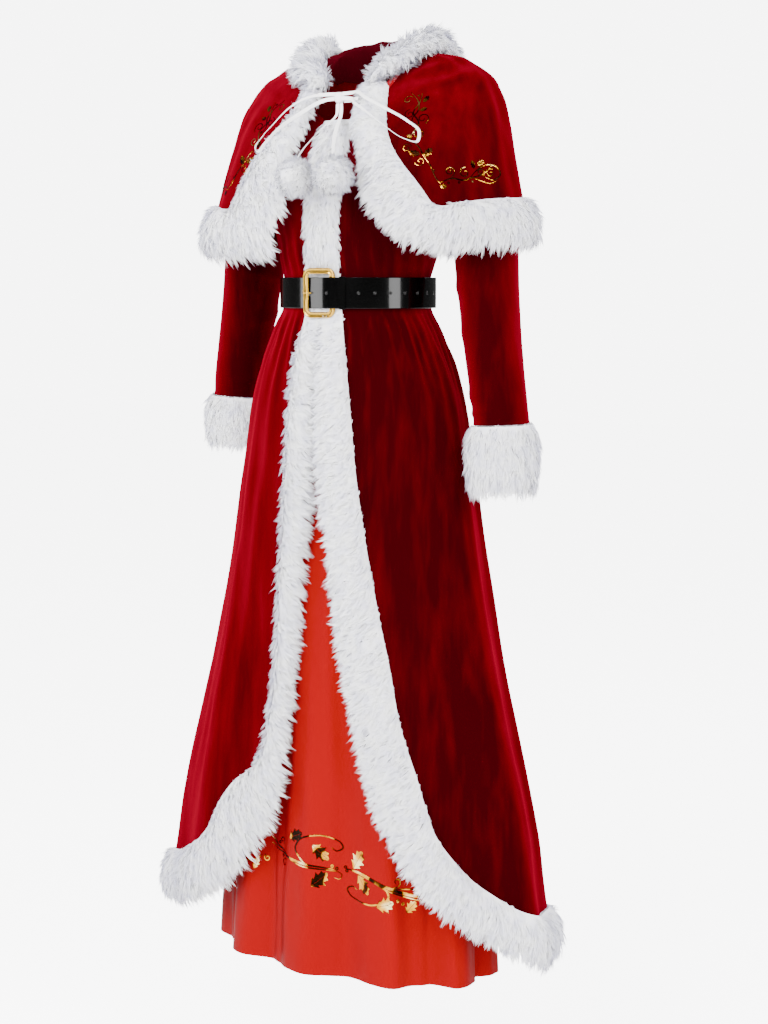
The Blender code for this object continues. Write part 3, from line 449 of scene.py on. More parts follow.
def furFinish(name, colour):
    # deep acrylic pile: white with a cool tint in patches of 17 mm, painted cool shade towards its rim where it
    # turns from the eye, and a share of the light from behind let through
    finish = Finish(name, colour, 0.85, Sheen_Weight=0.25, Sheen_Roughness=0.5, Specular_IOR_Level=0.15)
    white = finish.add("ValToRGB", links={"Fac": finish.pattern(60.0)}, stops=((0.3, "f0f0fa"), (0.62, "ffffff")))
    # painted shade: the pile's base colour darkens to grey-lilac towards its rim
    facing = finish.add("LayerWeight", {"Blend": 0.3}).outputs["Facing"]
    rim = finish.add("ValToRGB", links={"Fac": facing}, stops=((0.3, "ffffff"), (0.95, "c4c4d6")))
    joint = finish.add("Mix", {"data_type": "RGBA", "blend_type": "MULTIPLY", 0: 1.0},
                       {6: white.outputs["Color"], 7: rim.outputs["Color"]})
    mixed = joint.outputs[2]
    finish.into("Base Color", mixed)
    through = finish.add("BsdfTranslucent", links={"Color": mixed})
    joined = finish.add("MixShader", {0: 0.3}, {1: finish.shader.outputs["BSDF"], 2: through.outputs["BSDF"]})
    finish.tree.links.new(joined.outputs["Shader"], finish.tree.nodes["Material Output"].inputs["Surface"])
    return finish.material


def satinFinish():
    # woven satin: smooth, its red shifting slowly over 200 mm, with painted shade that darkens it where it turns
    # from the eye; the weave is drawn at 1.1 mm, coarser than it is, as the least that still softens the gloss
    finish = Finish("red_satin", "640206", 0.5, Specular_IOR_Level=0.05)
    finish.shader.inputs["Specular Tint"].default_value = linear("ff4030")
    tone = finish.pattern(5.0, 0.3)
    # painted shade: the base colour darkens where the satin turns from the eye
    facing = finish.add("LayerWeight", {"Blend": 0.35}).outputs["Facing"]
    total = finish.add("Math", {"operation": "MULTIPLY_ADD", 1: 0.4}, {0: tone, 2: facing}).outputs[0]
    finish.shade(total, ((0.1, "7a0508"), (0.55, "700407"), (0.95, "580103")))
    finish.relief(finish.pattern(900.0, 0.2, 1.0), 0.06, 0.0003)
    return finish.material


def foilFinish():
    # hot-pressed foil: gold, with painted reflections that turn it dark brown and bright in patches of 28 mm,
    # crinkled every 4 mm
    finish = Finish("gold_foil", "c8963a", 0.16, Metallic=1.0)
    # painted reflections: dark brown and pale gold patches in the base colour stand in for mirrored surroundings and
    # lamps
    finish.shade(finish.pattern(36.0, detail=1.0, roughness=0.5), (
        (0.42, "180b03"), (0.46, "3a1c05"), (0.49, "b07a1c"), (0.58, "cf9430"), (0.68, "f2d890")))
    finish.relief(finish.pattern(260.0), 0.55, 0.0012)
    return finish.material


def patentFinish():
    # patent leather: black under a clear coat, its gloss bent by slow waves of 60 mm
    finish = Finish("black_patent", "010101", 0.14, Specular_IOR_Level=0.16, Coat_Weight=0.22, Coat_Roughness=0.05)
    finish.relief(finish.pattern(16.0, 0.6), 0.25, 0.002)
    return finish.material


def goldFinish():
    # plated zinc casting: pale gold, its polish worn a little in spots of 3 mm
    finish = Finish("pale_gold_metal", "c79c3c", 0.2, Metallic=1.0)
    wear = finish.pattern(320.0)
    finish.into("Roughness", finish.add("MapRange", {3: 0.14, 4: 0.34}, {0: wear}).outputs[0])
    finish.relief(wear, 0.12, 0.0004)
    return finish.material


def ribbonFinish():
    # woven ribbon: white with a soft gloss, its weave drawn at 1.4 mm, coarser than it is, so that it shows
    finish = Finish("white_ribbon", "f4f2f2", 0.38, Sheen_Weight=0.2, Specular_IOR_Level=0.5)
    finish.relief(finish.pattern(700.0, detail=1.0), 0.15, 0.0003)
    return finish.material


velvet = velvetFinish("red_velvet", "260003", "480006", "6a0318")
# the hood's inside: partly the duller wrong side of the velvet, partly painted shade that keeps its roll dark under
# the key lamp
hoodInsideShadedVelvet = velvetFinish("hood_inside_velvet_painted_shade", "2a0206", "340309", "440610")
# the maroon lining, much lighter than the cloth: painted light inside the bodice and cape, where little real light
# reaches
paintedLightLining = velvetFinish("maroon_lining_painted_light", "960a18", "a60e1c", "b41424")
fur = furFinish("white_fur", "f6f6ff")
satin = satinFinish()
foil = foilFinish()
patent = patentFinish()
gold = goldFinish()
ribbon = ribbonFinish()
dark = Finish("dark_hole", "050404", 0.9).material  # the shadow inside a punched hole
print("materials made")


# a lock of pile: its blades, how far apart they root, each one's width, how far they lie over and stray,
# hang, draw together at the tips and fray
pile = {"blades": 9, "spread": 0.0046, "width": 0.0012, "lay": 1.3, "stray": 0.3, "droop": 0.1,
        "gather": 0.3, "fray": 0.0011}
rootDepth = 0.0012


def locks(base, normal, comb, length, settings, seed):
    # base, normal and comb are grids of vectors and length a grid of sizes; locks are drawn from the cells'
    # areas, each a group of blades whose roots spread on the base and whose tips draw together: each blade
    # leaves the base leaning by its lay along the comb, bent at half its length
    chance = np.random.default_rng(seed)
    rows, columns = base.shape[:2]
    corner = base[:-1, :-1]
    area = np.linalg.norm(np.cross(base[1:, :-1] - corner, base[:-1, 1:] - corner), axis=-1)
    weight = area * settings.get("density", np.ones_like(area))
    pick = chance.choice(weight.size, settings["locks"], p=(weight / weight.sum()).ravel())
    i, j = np.unravel_index(pick, area.shape)
    a, b = chance.random(len(i))[:, None], chance.random(len(i))[:, None]

    def read(grid):
        grid = grid if grid.ndim == 3 else grid[..., None]
        return ((1 - a) * (1 - b) * grid[i, j] + a * (1 - b) * grid[i + 1, j]
                + (1 - a) * b * grid[i, j + 1] + a * b * grid[i + 1, j + 1])

    root, up, flow, size = read(base), unit(read(normal)), unit(read(comb)), read(length)
    flow = unit(flow - up * np.sum(flow * up, axis=-1, keepdims=True))
    side = np.cross(up, flow)
    turn = chance.normal(0.0, settings["stray"], (len(i), 1))
    flow = flow * np.cos(turn) + side * np.sin(turn)
    side = np.cross(up, flow)
    lean = np.clip(chance.normal(settings["lay"], 0.1, (len(i), 1)), 0.05, 1.45)
    aim = unit(up * np.cos(lean) + flow * np.sin(lean) - settings["droop"] * upwards)
    size = size * chance.uniform(0.55, 1.25, (len(i), 1))
    blades = settings["blades"]
    ring = chance.random((len(i), blades, 1)) ** 0.5 * settings["spread"]
    around = chance.random((len(i), blades, 1)) * 2 * math.pi
    shift = flow[:, None] * ring * np.cos(around) + side[:, None] * ring * np.sin(around)
    roots = root[:, None] + shift - up[:, None] * rootDepth
    reach = size[:, None] * chance.uniform(0.72, 1.06, (len(i), blades, 1))
    jitter = chance.normal(0.0, settings["fray"], (len(i), blades, 3))
    tips = root[:, None] + aim[:, None] * reach + shift * settings["gather"] + jitter
    middle = roots * 0.48 + tips * 0.52 + up[:, None] * reach * 0.08
    along = unit(tips - roots)
    wide = unit(np.cross(along, up[:, None] + chance.normal(0.0, 0.5, along.shape))) * settings["width"] / 2
    points = np.stack([roots - wide, roots + wide, middle - wide * 0.75, middle + wide * 0.75, tips], axis=2)
    lit = unit(up[:, None] * 0.95 + aim[:, None] * 0.25)
    bent = unit(wide) * 0.22
    shading = np.stack([lit - bent, lit + bent, lit - bent, lit + bent, lit + 0 * bent], axis=2)
    first = np.arange(len(i) * blades)[:, None] * 5
    quads = first + np.array([[0, 1, 3, 2]])
    tops = first + np.array([[2, 3, 4]])
    return points.reshape(-1, 3), quads, tops, unit(shading.reshape(-1, 3))


def furPiece(node, base, normal, comb, length, settings, seed):
    # one mesh: the base grid with its own soft normals, then the blades
    rows, columns = base.shape[:2]
    comb, length = np.broadcast_to(comb, base.shape), np.broadcast_to(length, (rows, columns))
    points, quads, tops, shading = locks(base, normal, comb, length, settings, seed)
    count = rows * columns
    everything = np.concatenate([base.reshape(-1, 3), points])
    shade = np.concatenate([normal.reshape(-1, 3), shading])
    across = np.cross(base[1:, :-1] - base[:-1, :-1], base[:-1, 1:] - base[:-1, :-1])
    flip = np.sum(across * normal[:-1, :-1]) > 0.0
    faces = [gridFaces(rows, columns, flip=flip), quads + count, tops + count]
    fasten(addMesh(node + "_pile", everything, faces, fur, shade), node)


def furBand(node, edge, free, form, band, share, seed, flatZ=None):
    # a band from the cloth's edge to its free edge: the base is a low dome, h sin(pi t)^.55, between them
    across = np.linspace(0.0, 1.0, 15)
    reach = across * 0.93
    dome = np.sin(np.pi * across) ** 0.55
    patch = edge[:, None, :] * (1 - reach[None, :, None]) + free[:, None, :] * reach[None, :, None]
    grid = form(patch[..., 0], patch[..., 1])
    normal = formNormals(form, patch[..., 0], patch[..., 1])
    tall = np.full(len(edge), band["height"])
    if flatZ is not None:  # pressed flat under the belt
        tall = tall * np.clip((np.abs(edge[:, 1] - waistZ) - flatZ) / 0.045, 0.07, 1.0)
        share = share * (0.35 + 0.65 * tall / tall.max())
    outer = grid + normal * (0.0012 + dome[None, :] * tall[:, None] * 0.74)[..., None]
    rounded = gridNormals(outer)
    rounded = rounded * np.sign(np.sum(rounded * normal))
    comb = unit(np.gradient(grid, axis=1)) - band["fall"] * upwards
    size = (0.02 + band["longer"] * fade(across, 0.45, 1.0))[None, :] * np.reshape(share, (-1, 1))
    dense = np.ones((len(edge) - 1, len(across) - 1)) * (1.0 + 0.8 * fade(across[1:], 0.7, 1.0))[None, :]
    count = band["locks"] if "locks" in band else int(band["locksPerMetre"] * pathLength(outer[:, 7]))
    furPiece(node, outer, rounded, comb, size, dict(pile, locks=count, density=dense), seed)


overskirt = {
    "rows": 96, "across": 56, "acrossBack": 116, "hemZ": -1.27, "hemDrop": 0.014, "furDrop": 0.07,
    "flatFront": (0.4, 0.96), "flatBack": (0.86, 0.96), "area": {"left": 0.171, "right": 0.2105, "back": 0.56}}
# the solids' nine flutes and eighteen gathers: height, and for the gathers how far below the waist they run
skirtWaves = {"flutes": 9, "flute": 0.009, "lean": 20.0, "gathers": 18, "gather": 0.0022, "below": 0.024, "run": 0.12}
skirtBand = {"height": 0.016, "longer": 0.007, "fall": 0.35, "locksPerMetre": 3060}
skirtBackBand = dict(skirtBand, locksPerMetre=2200)
# the skirt's section at each height: half width, depth in front and behind, shift towards the back
skirtTable = {
    "z":     (-1.360, -1.280, -1.120, -1.000, -0.880, -0.730, -0.600, -0.460, -0.390, -0.352, -0.327),
    "half":  (0.3590, 0.3450, 0.3130, 0.2820, 0.2520, 0.2220, 0.2000, 0.1720, 0.1430, 0.1225, 0.1220),
    "front": (0.1430, 0.1400, 0.1360, 0.1320, 0.1280, 0.1240, 0.1210, 0.1140, 0.1050, 0.0985, 0.0980),
    "back":  (0.1540, 0.1500, 0.1470, 0.1440, 0.1400, 0.1350, 0.1300, 0.1180, 0.1060, 0.0985, 0.0980),
    "shift": (-0.016, -0.014, -0.011, -0.008, -0.005, -0.003, -0.001, 0.0000, 0.0000, 0.0000, 0.0000)}
# where each front's velvet ends and where its fur ends: down to the corner row, then round the hem
skirtEdges = {
    "left": {
        "corner": 10,
        "velvetAngle": (16.5, 17.3, 19.2, 21.4, 23.5, 28.5, 31.5, 34.0, 38.0, 39.5, 41.5, 45.5, 53.0, 62.0,
                        74.0, 95.0),
        "velvetZ": (-0.3275, -0.4, -0.5, -0.607, -0.671, -0.806, -0.885, -0.979, -1.054, -1.09, -1.128,
                    -1.16, -1.198, -1.224, -1.25, -1.27),
        "furAngle": (0.3, 0.5, 1.8, 4.2, 7.4, 11.2, 14.0, 17.4, 20.5, 23.4, 28.0, 34.0, 43.0, 55.0, 70.0, 95.0),
        "furZ": (-0.3275, -0.4, -0.5, -0.62, -0.69, -0.811, -0.895, -0.985, -1.06, -1.11, -1.155,
                 -1.205, -1.25, -1.284, -1.315, -1.34)},
    "right": {
        "corner": 7,
        "velvetAngle": (14.0, 14.3, 15.2, 15.3, 15.0, 14.4, 14.4, 16.2, 21.6, 29.5, 34.5, 37.5, 44.0, 57.0,
                        72.0, 95.0),
        "velvetZ": (-0.3275, -0.4, -0.5, -0.61, -0.743, -0.873, -0.953, -1.026, -1.068, -1.098, -1.135,
                    -1.178, -1.213, -1.24, -1.257, -1.27),
        "furAngle": (0.3, 0.6, 1.5, 3.2, 6.6, 8.2, 9.2, 9.8, 10.8, 13.0, 18.0, 26.0, 35.0, 50.0, 69.0, 95.0),
        "furZ": (-0.3275, -0.4, -0.5, -0.62, -0.745, -0.88, -0.96, -1.03, -1.085, -1.14, -1.19,
                 -1.24, -1.285, -1.318, -1.335, -1.34)}}
# angle at the top, lean, width, height, top and bottom of each fold
skirtFolds = (
    (-30, -4, 4.0, 0.0034, -0.36, -0.9), (-43, -10, 5.0, 0.0042, -0.38, -1.05), (-58, -6, 5.0, 0.0046, -0.37, -1.2),
    (-74, -8, 5.5, 0.0046, -0.4, -1.26), (-35, 2, 3.5, 0.002, -0.6, -1.1), (-50, 4, 4.0, 0.0024, -0.7, -1.2),
    (31, 6, 4.5, 0.0026, -0.37, -0.98), (44, 9, 6.0, 0.003, -0.42, -1.15), (60, 5, 6.5, 0.0034, -0.38, -1.2),
    (74, 7, 5.0, 0.0036, -0.42, -1.22), (85, 4, 5.0, 0.0044, -0.38, -1.24), (52, -5, 4.0, 0.0018, -0.75, -1.2),
    (108, 3, 4.0, 0.005, -0.37, -1.25), (124, 6, 4.5, 0.0055, -0.38, -1.25), (142, -3, 4.0, 0.005, -0.36, -1.26),
    (160, 4, 4.5, 0.0055, -0.38, -1.26), (180, 0, 4.0, 0.005, -0.36, -1.26), (199, -5, 4.5, 0.0055, -0.37, -1.26),
    (217, 3, 4.0, 0.005, -0.38, -1.25), (236, -6, 4.5, 0.0055, -0.37, -1.25), (252, -2, 4.0, 0.005, -0.38, -1.24))


def skirtForm(angle, z):
    # the solids' own form: flutes f d^1.2 cos 9 t that grow downwards, and gathers g cos 18 t that die away
    # below the belt
    wave = skirtWaves
    down = np.clip(waistZ - z, 0.0, 1.0)
    calm = np.clip(np.abs(angle) / 40.0, 0.25, 1.0)
    flute = wave["flute"] * down ** 1.2 * calm * np.cos(np.radians(wave["flutes"] * angle + wave["lean"] * down))
    start = waistZ - wave["below"] - z
    dying = np.clip(1.0 - (start - 0.002) / wave["run"], 0.0, 1.0) * np.clip(start / 0.02, 0.0, 1.0)
    ridge = np.clip((np.abs(angle) - 20.0) / 20.0, 0.0, 1.0) * np.cos(np.radians(wave["gathers"] * angle))
    return section(skirtTable, angle, z, flute + wave["gather"] * dying * ridge)


def skirtLook(angle, z):
    # listed folds fall from the waist and open towards the hem; fine ones start under the belt
    base = skirtForm(angle, z)
    lift = crease(angle, z, skirtFolds) - 0.0022
    near = fade(-z, 0.352, 0.372) * (1.0 - fade(-z, 0.4, 0.52))
    pulls = 0.0012 * near * np.cos(np.radians(47 * angle + 30 * np.sin(np.radians(5 * angle))))
    soft = 0.001 * np.sin(7.3 * z + np.radians(angle * 4.0)) * np.sin(23.0 * z + np.radians(angle * 7.0))
    out = unit(base * (1.0, 1.0, 0.0))
    return base + out * (lift * fade(-z, 0.36, 0.42) + pulls + soft * fade(-z, 0.36, 0.45))[..., None]


def overskirtPanel(part, angle, z):
    panel = shell("overskirt_" + part + "_cloth", skirtLook(angle, z), formNormals(skirtLook, angle, z), velvetThick,
                  velvet, "overskirt_" + part)


def makeOverskirt():
    shares = np.linspace(0.0, 1.0, overskirt["rows"]) ** 1.15  # rows a little closer at the waist
    waist = waistZ - 0.0003
    for name, sign in sides:
        patch, edge, free = frontPanel(skirtEdges[name], sign, sign * (sideAngle - seamGap), shares,
                                       overskirt["across"], topZ=waist)
        overskirtPanel("front_" + name, patch[..., 0], patch[..., 1])
        furBand("skirt_fur_front_" + name, edge, free, skirtForm, skirtBand, 1.0, 11 if sign > 0 else 12,
                flatZ=0.04)
    angles = np.linspace(sideAngle + seamGap, 360.0 - sideAngle - seamGap, overskirt["acrossBack"])
    drop = 0.5 - 0.5 * np.cos(np.radians((angles - sideAngle) / (360.0 - 2 * sideAngle) * 360.0))
    hemZ = overskirt["hemZ"] - overskirt["hemDrop"] * drop
    z = waist + (hemZ[None, :] - waist) * shares[:, None]
    overskirtPanel("back", angles[None, :], z)
    furBand("skirt_fur_back", together(angles, hemZ), together(angles, hemZ - overskirt["furDrop"]), skirtForm,
            skirtBackBand, 1.0, 13)


makeOverskirt()
print("overskirt made")


satinSkirt = {"rows": 64, "hemZ": -1.385, "thick": 0.001, "flat": (0.7, 1.06), "area": 0.54,
              "panels": (("front", -89.996, 89.996, 170), ("back", 90.004, 269.996, 100))}
satinTable = {
    "z":     (-1.400, -1.200, -1.000, -0.800, -0.600, -0.460, -0.390, -0.350, -0.327),
    "half":  (0.2420, 0.2300, 0.2160, 0.1960, 0.1740, 0.1520, 0.1320, 0.1192, 0.1192),
    "front": (0.1260, 0.1180, 0.1120, 0.1080, 0.1040, 0.0990, 0.0960, 0.0944, 0.0944),
    "back":  (0.1220, 0.1160, 0.1130, 0.1090, 0.1060, 0.1010, 0.0970, 0.0950, 0.0950),
    "shift": (-0.010, -0.008, -0.006, -0.004, -0.001, 0.0000, 0.0000, 0.0000, 0.0000)}
satinFolds = (
    (-62, 6, 3.2, 0.0065, -0.8, -1.5), (-50, -3, 2.8, 0.0026, -0.95, -1.5), (-36, 5, 4.4, 0.004, -0.9, -1.5),
    (-22, 4, 2.6, 0.004, -0.7, -1.5), (-9, -5, 3.4, 0.0028, -0.62, -1.5), (4, 7, 3.8, 0.0038, -0.6, -1.5),
    (18, 8, 3.6, 0.003, -0.66, -1.5), (32, 6, 4.2, 0.0038, -0.8, -1.5), (46, 5, 3.8, 0.004, -0.9, -1.5),
    (60, 4, 3.0, 0.005, -0.8, -1.5), (-80, -3, 3.5, 0.0055, -0.7, -1.5), (80, 3, 3.5, 0.005, -0.7, -1.5),
    (105, 3, 3.0, 0.005, -0.7, -1.5), (128, -4, 3.2, 0.005, -0.8, -1.5), (150, 5, 3.0, 0.0055, -0.7, -1.5),
    (172, 3, 3.2, 0.005, -0.8, -1.5), (195, -4, 3.0, 0.005, -0.7, -1.5), (218, 4, 3.2, 0.0055, -0.8, -1.5),
    (240, 3, 3.0, 0.005, -0.7, -1.5))


def satinForm(angle, z):
    # the solids' section with ten waves round it, opening below the knee: w = .013 d^1.3 cos 10 t
    down = np.clip((-0.55 - z) / 0.85, 0.0, 1.0)
    wave = 0.013 * down ** 1.3 * np.cos(np.radians(10 * angle + 35.0))
    return section(satinTable, angle, z, wave)


def satinLook(angle, z):
    # sharper folds ride on the solids' waves, one deep one at the wearer's right, with faint cross creases
    base = satinForm(angle, z)
    low = fade(-z, 0.75, 1.1)
    cross = 0.0011 * low * np.sin(31.0 * z + np.radians(9.0 * angle)) * np.sin(np.radians(13.0 * angle) + 11.0 * z)
    swing = 0.0012 * fade(-z, 0.6, 1.2) * np.sin(np.radians(23.0 * angle) + 4.0 * z)
    out = unit(base * (1.0, 1.0, 0.0))
    return base + out * (crease(angle, z, satinFolds) + cross + swing - 0.0015 * low)[..., None]


def makeSatinSkirt():
    size = satinSkirt
    shares = np.linspace(0.0, 1.0, size["rows"])
    top = waistZ - 0.001
    for name, first, last, columns in size["panels"]:
        turn = np.linspace(first, last, columns)[None, :]
        z = (top + (size["hemZ"] - top) * shares)[:, None]
        calm = fade(-z, 0.36, 0.42)[..., None]  # no folds under the belt
        grid = satinLook(turn, z) * calm + satinForm(turn, z) * (1 - calm)
        panel = shell("satin_skirt_" + name + "_cloth", grid, formNormals(satinLook, turn, z), size["thick"], satin,
                      "satin_skirt_" + name)


makeSatinSkirt()
print("satin skirt made")


# the cloth shows its maroon lining inside, its colour painted lighter as light for the shaded inside; flat sizes and
# areas are those of one panel
bodice = {"rows": (-0.327, -0.3015, -0.265, -0.215, -0.175, -0.148), "thick": 0.0012, "inside": (0.0, 0.03, -0.2),
          "flatFront": (0.2, 0.4), "areaFront": 0.054, "insideBack": (0.0, 0.0, -0.2),
          "flatBack": (0.42, 0.38), "areaBack": 0.132}
placketHalf = 0.0315
bodiceTable = {
    "z":     (-0.327, -0.300, -0.265, -0.215, -0.175, -0.148),
    "half":  (0.1210, 0.1215, 0.1310, 0.1450, 0.1550, 0.1592),
    "front": (0.0970, 0.0980, 0.1050, 0.1150, 0.1230, 0.1240),
    "back":  (0.0970, 0.0975, 0.1010, 0.1030, 0.0940, 0.0860),
    "shift": (0.0000, 0.0010, 0.0060, 0.0170, 0.0280, 0.0360)}
# from the armpit's height to the shoulder: the front panel's inner edge, and the back's middle
frontLine = np.array(((0.0315, -0.085, -0.148), (0.0315, -0.078, -0.12), (0.0315, -0.064, -0.093),
                      (0.0315, -0.0445, -0.066), (0.05, -0.034, -0.051), (0.064, -0.014, -0.03),
                      (0.073, 0.014, -0.004), (0.076, 0.045, 0.022)))
backLine = np.array(((0.0, 0.122, -0.148), (0.0, 0.124, -0.132), (0.0, 0.124, -0.105), (0.0, 0.122, -0.075),
                     (0.0, 0.118, -0.045), (0.0, 0.112, -0.02), (0.0, 0.106, 0.0), (0.0, 0.099, 0.016)))
shoulderEnds = ((0.076, 0.045, 0.022), (0.1642, 0.036, -0.008))
backNeck = np.array(((0.1642, 0.0366, -0.008), (0.136, 0.0395, 0.002), (0.106, 0.0425, 0.012), (0.076, 0.0456, 0.022),
                     (0.058, 0.078, 0.02), (0.032, 0.094, 0.017), (0.0, 0.099, 0.016)))
frontLine[0] = section(bodiceTable, np.degrees(np.arcsin(placketHalf / bodiceTable["half"][-1])), np.array(armpitZ))


def armhole(sign, half):
    # half an upright ellipse round the arm, before it (half = -1) or behind it (half = 1)
    turn = np.linspace(0.0, math.pi, 8)
    return together(sign * (0.1616 - 0.0026 * np.cos(turn)), 0.036 + half * 0.058 * np.sin(turn),
                    -0.078 - 0.07 * np.cos(turn))


def blended(base, bottom, top):
    # the base grid, drawn to a given bottom row and a given top row
    v = np.linspace(0.0, 1.0, len(base))[:, None, None]
    return base + (bottom - base[0]) * (1 - v) ** 2 + (top - base[-1]) * v ** 4


def placketAngles():
    # where the placket's edge meets each row of the bodice: sin t = half width / half ellipse
    rows = np.array(bodice["rows"])
    return rows, np.degrees(np.arcsin(placketHalf / smooth(rows, bodiceTable["z"], bodiceTable["half"])))


def bodicePanel(node, grid, inside):
    # drag lines lean up from the belt over the waist, with a few soft ones under the bust
    normal = gridNormals(grid, inside)
    x, z = grid[..., 0], grid[..., 2]
    angle = np.degrees(np.arctan2(x, -grid[..., 1]))
    low = fade(z, -0.31, -0.285) * (1.0 - fade(z, -0.27, -0.2))
    bust = fade(z, -0.29, -0.25) * (1.0 - fade(z, -0.17, -0.13)) * fade(np.abs(x), 0.045, 0.1)
    lift = 0.0013 * low * np.sin(np.radians(29.0 * angle) + 60.0 * z)
    lift = lift + 0.0014 * bust * np.sin(95.0 * z + np.radians(3.2 * angle) * np.sign(x) + 0.6)
    panel = shell(node + "_cloth", grid + normal * lift[..., None], normal, bodice["thick"], velvet, node,
                  inside=paintedLightLining)


def makeBodice():
    # below the armpit each panel follows the section, above it the lines to the shoulder and round the arm
    rows, start = placketAngles()
    share = np.linspace(0.0, 1.0, 7)[None, :]
    shoulder = line(*shoulderEnds, 7)
    for name, sign in sides:
        side = np.array([sign, 1.0, 1.0])
        angle = start[:, None] * (1 - share) + 89.9 * share
        lower = section(bodiceTable, angle, rows[:, None]) * side
        arc = armhole(sign, -1.0)
        arc[0] = lower[-1, -1]
        base = (frontLine * side)[:, None, :] * (1 - share[..., None]) + arc[:, None, :] * share[..., None]
        grid = refine(np.concatenate([lower, blended(base, lower[-1], shoulder * side)[1:]]), 64, 44)
        bodicePanel("bodice_front_" + name, grid, bodice["inside"])
    angle = np.linspace(90.1, 269.9, 13)[None, :]
    lower = section(bodiceTable, angle, rows[:, None])
    across = np.linspace(1.0, -1.0, 13)[None, :]
    arc = armhole(1.0, 1.0)
    arc[0] = lower[-1, 0]
    rise = (arc - backLine)[:, None, :]
    base = together(arc[:, :1] * across, backLine[:, 1:2] + rise[..., 1] * np.abs(across) ** 2.2,
                    backLine[:, 2:] + rise[..., 2] * np.abs(across) ** 2)
    top = np.concatenate([backNeck, backNeck[-2::-1] * (-1, 1, 1)])
    grid = refine(np.concatenate([lower, blended(base, lower[-1], top)[1:]]), 60, 70)
    bodicePanel("bodice_back", grid, bodice["insideBack"])


sleeve = {"rows": 112, "columns": 49, "thick": 0.0012, "flat": (0.38, 0.56), "area": 0.136, "foldWidth": 0.016}
# ten rings down each arm: its outer and inner points, the middle from front to back, half its depth
sleeveRings = {
    "left": {
        "outerX": (0.165, 0.2012, 0.223, 0.243, 0.257, 0.264, 0.273, 0.286, 0.3, 0.3055),
        "outerZ": (-0.0075, -0.0206, -0.066, -0.128, -0.195, -0.258, -0.33, -0.415, -0.49, -0.5195),
        "innerX": (0.1602, 0.165, 0.166, 0.163, 0.162, 0.166, 0.18, 0.198, 0.215, 0.2205),
        "innerZ": (-0.148, -0.156, -0.172, -0.194, -0.225, -0.27, -0.337, -0.421, -0.495, -0.5235),
        "y": (0.036, 0.038, 0.038, 0.036, 0.033, 0.028, 0.017, 0.005, -0.004, -0.0075),
        "halfY": (0.058, 0.057, 0.055, 0.053, 0.051, 0.05, 0.047, 0.0445, 0.0425, 0.042)},
    "right": {
        "outerX": (0.165, 0.2012, 0.223, 0.246, 0.264, 0.272, 0.285, 0.298, 0.3055, 0.3065),
        "outerZ": (-0.0075, -0.0206, -0.066, -0.128, -0.195, -0.258, -0.325, -0.395, -0.455, -0.494),
        "innerX": (0.1602, 0.165, 0.166, 0.164, 0.166, 0.173, 0.19, 0.208, 0.218, 0.2215),
        "innerZ": (-0.148, -0.156, -0.172, -0.194, -0.225, -0.27, -0.331, -0.401, -0.461, -0.499),
        "y": (0.036, 0.038, 0.038, 0.035, 0.033, 0.038, 0.047, 0.052, 0.05, 0.048),
        "halfY": (0.058, 0.057, 0.055, 0.053, 0.051, 0.05, 0.047, 0.0445, 0.043, 0.042)}}
# each sleeve's wrinkles: share of the way down, the way it faces (radians), slant, height
sleeveFolds = {
    "left": ((0.36, 2.9, 0.6, 0.003), (0.42, 3.4, -0.5, 0.0034), (0.47, 2.6, 0.5, 0.003), (0.53, 3.2, -0.4, 0.0028),
             (0.16, 3.6, 0.9, 0.0026), (0.24, 2.7, 0.7, 0.0024), (0.64, 3.6, 0.5, 0.0022), (0.75, 2.8, -0.6, 0.0022),
             (0.86, 3.4, 0.4, 0.0024), (0.93, 2.9, -0.3, 0.002)),
    "right": ((0.38, 2.6, -0.6, 0.0032), (0.44, 3.2, 0.5, 0.0034), (0.5, 2.8, -0.5, 0.0028), (0.2, 3.1, 0.8, 0.0026),
              (0.62, 3.0, -0.5, 0.0024), (0.72, 2.8, 0.6, 0.0024), (0.82, 3.3, -0.4, 0.0024),
              (0.91, 3.1, 0.3, 0.002))}
cuffRun = {"left": (0.0048, -0.0045, -0.0935), "right": (0.015, -0.023, -0.072)}


def makeSleeves():
    # rings between the arm's inner and outer line: place = inner + (outer - inner)(1 + cos t) / 2, and
    # y = middle + half width sin t
    for name, sign in sides:
        table = sleeveRings[name]
        turn = np.linspace(0.0, 2 * math.pi, 14, endpoint=False)[None, :]
        outer = together(table["outerX"], table["outerZ"])[:, None, :]
        inner = together(table["innerX"], table["innerZ"])[:, None, :]
        flat = inner + (outer - inner) * (0.5 + 0.5 * np.cos(turn)[..., None])
        y = np.array(table["y"])[:, None] + np.array(table["halfY"])[:, None] * np.sin(turn)
        rings = together(sign * flat[..., 0], y, flat[..., 1])
        grid = refine(rings, sleeve["rows"], sleeve["columns"], closed=True)
        normal = ringNormals(grid, grid.mean(axis=1, keepdims=True))
        down = np.linspace(0.0, 1.0, sleeve["rows"])[:, None]
        around = np.linspace(0.0, 2 * math.pi, sleeve["columns"])[None, :]
        lift = 0.0
        for place, facing, slant, height in sleeveFolds[name]:
            # each wrinkle is a leaning ridge that fades round the arm: g = h exp(-(d/w)^2) (.5 + .5 cos)^1.2
            bend = (around - facing + math.pi) % (2 * math.pi) - math.pi
            offset = (down - place) - sleeve["foldWidth"] * slant * bend * 1.8
            lift = lift + height * np.exp(-(offset / sleeve["foldWidth"]) ** 2) * (0.5 + 0.5 * np.cos(bend)) ** 1.2
        lift = (lift - 0.0008) * fade(down, 0.05, 0.14) * (1 - fade(down, 0.975, 1.0))
        moved = grid + normal * lift[..., None]
        panel = shell("sleeve_" + name + "_cloth", moved[:, :-1], normal[:, :-1], sleeve["thick"], velvet,
                      "sleeve_" + name, closed=True)
        makeCuff(name, rings[-1], np.array(cuffRun[name]), 21 if sign > 0 else 22)


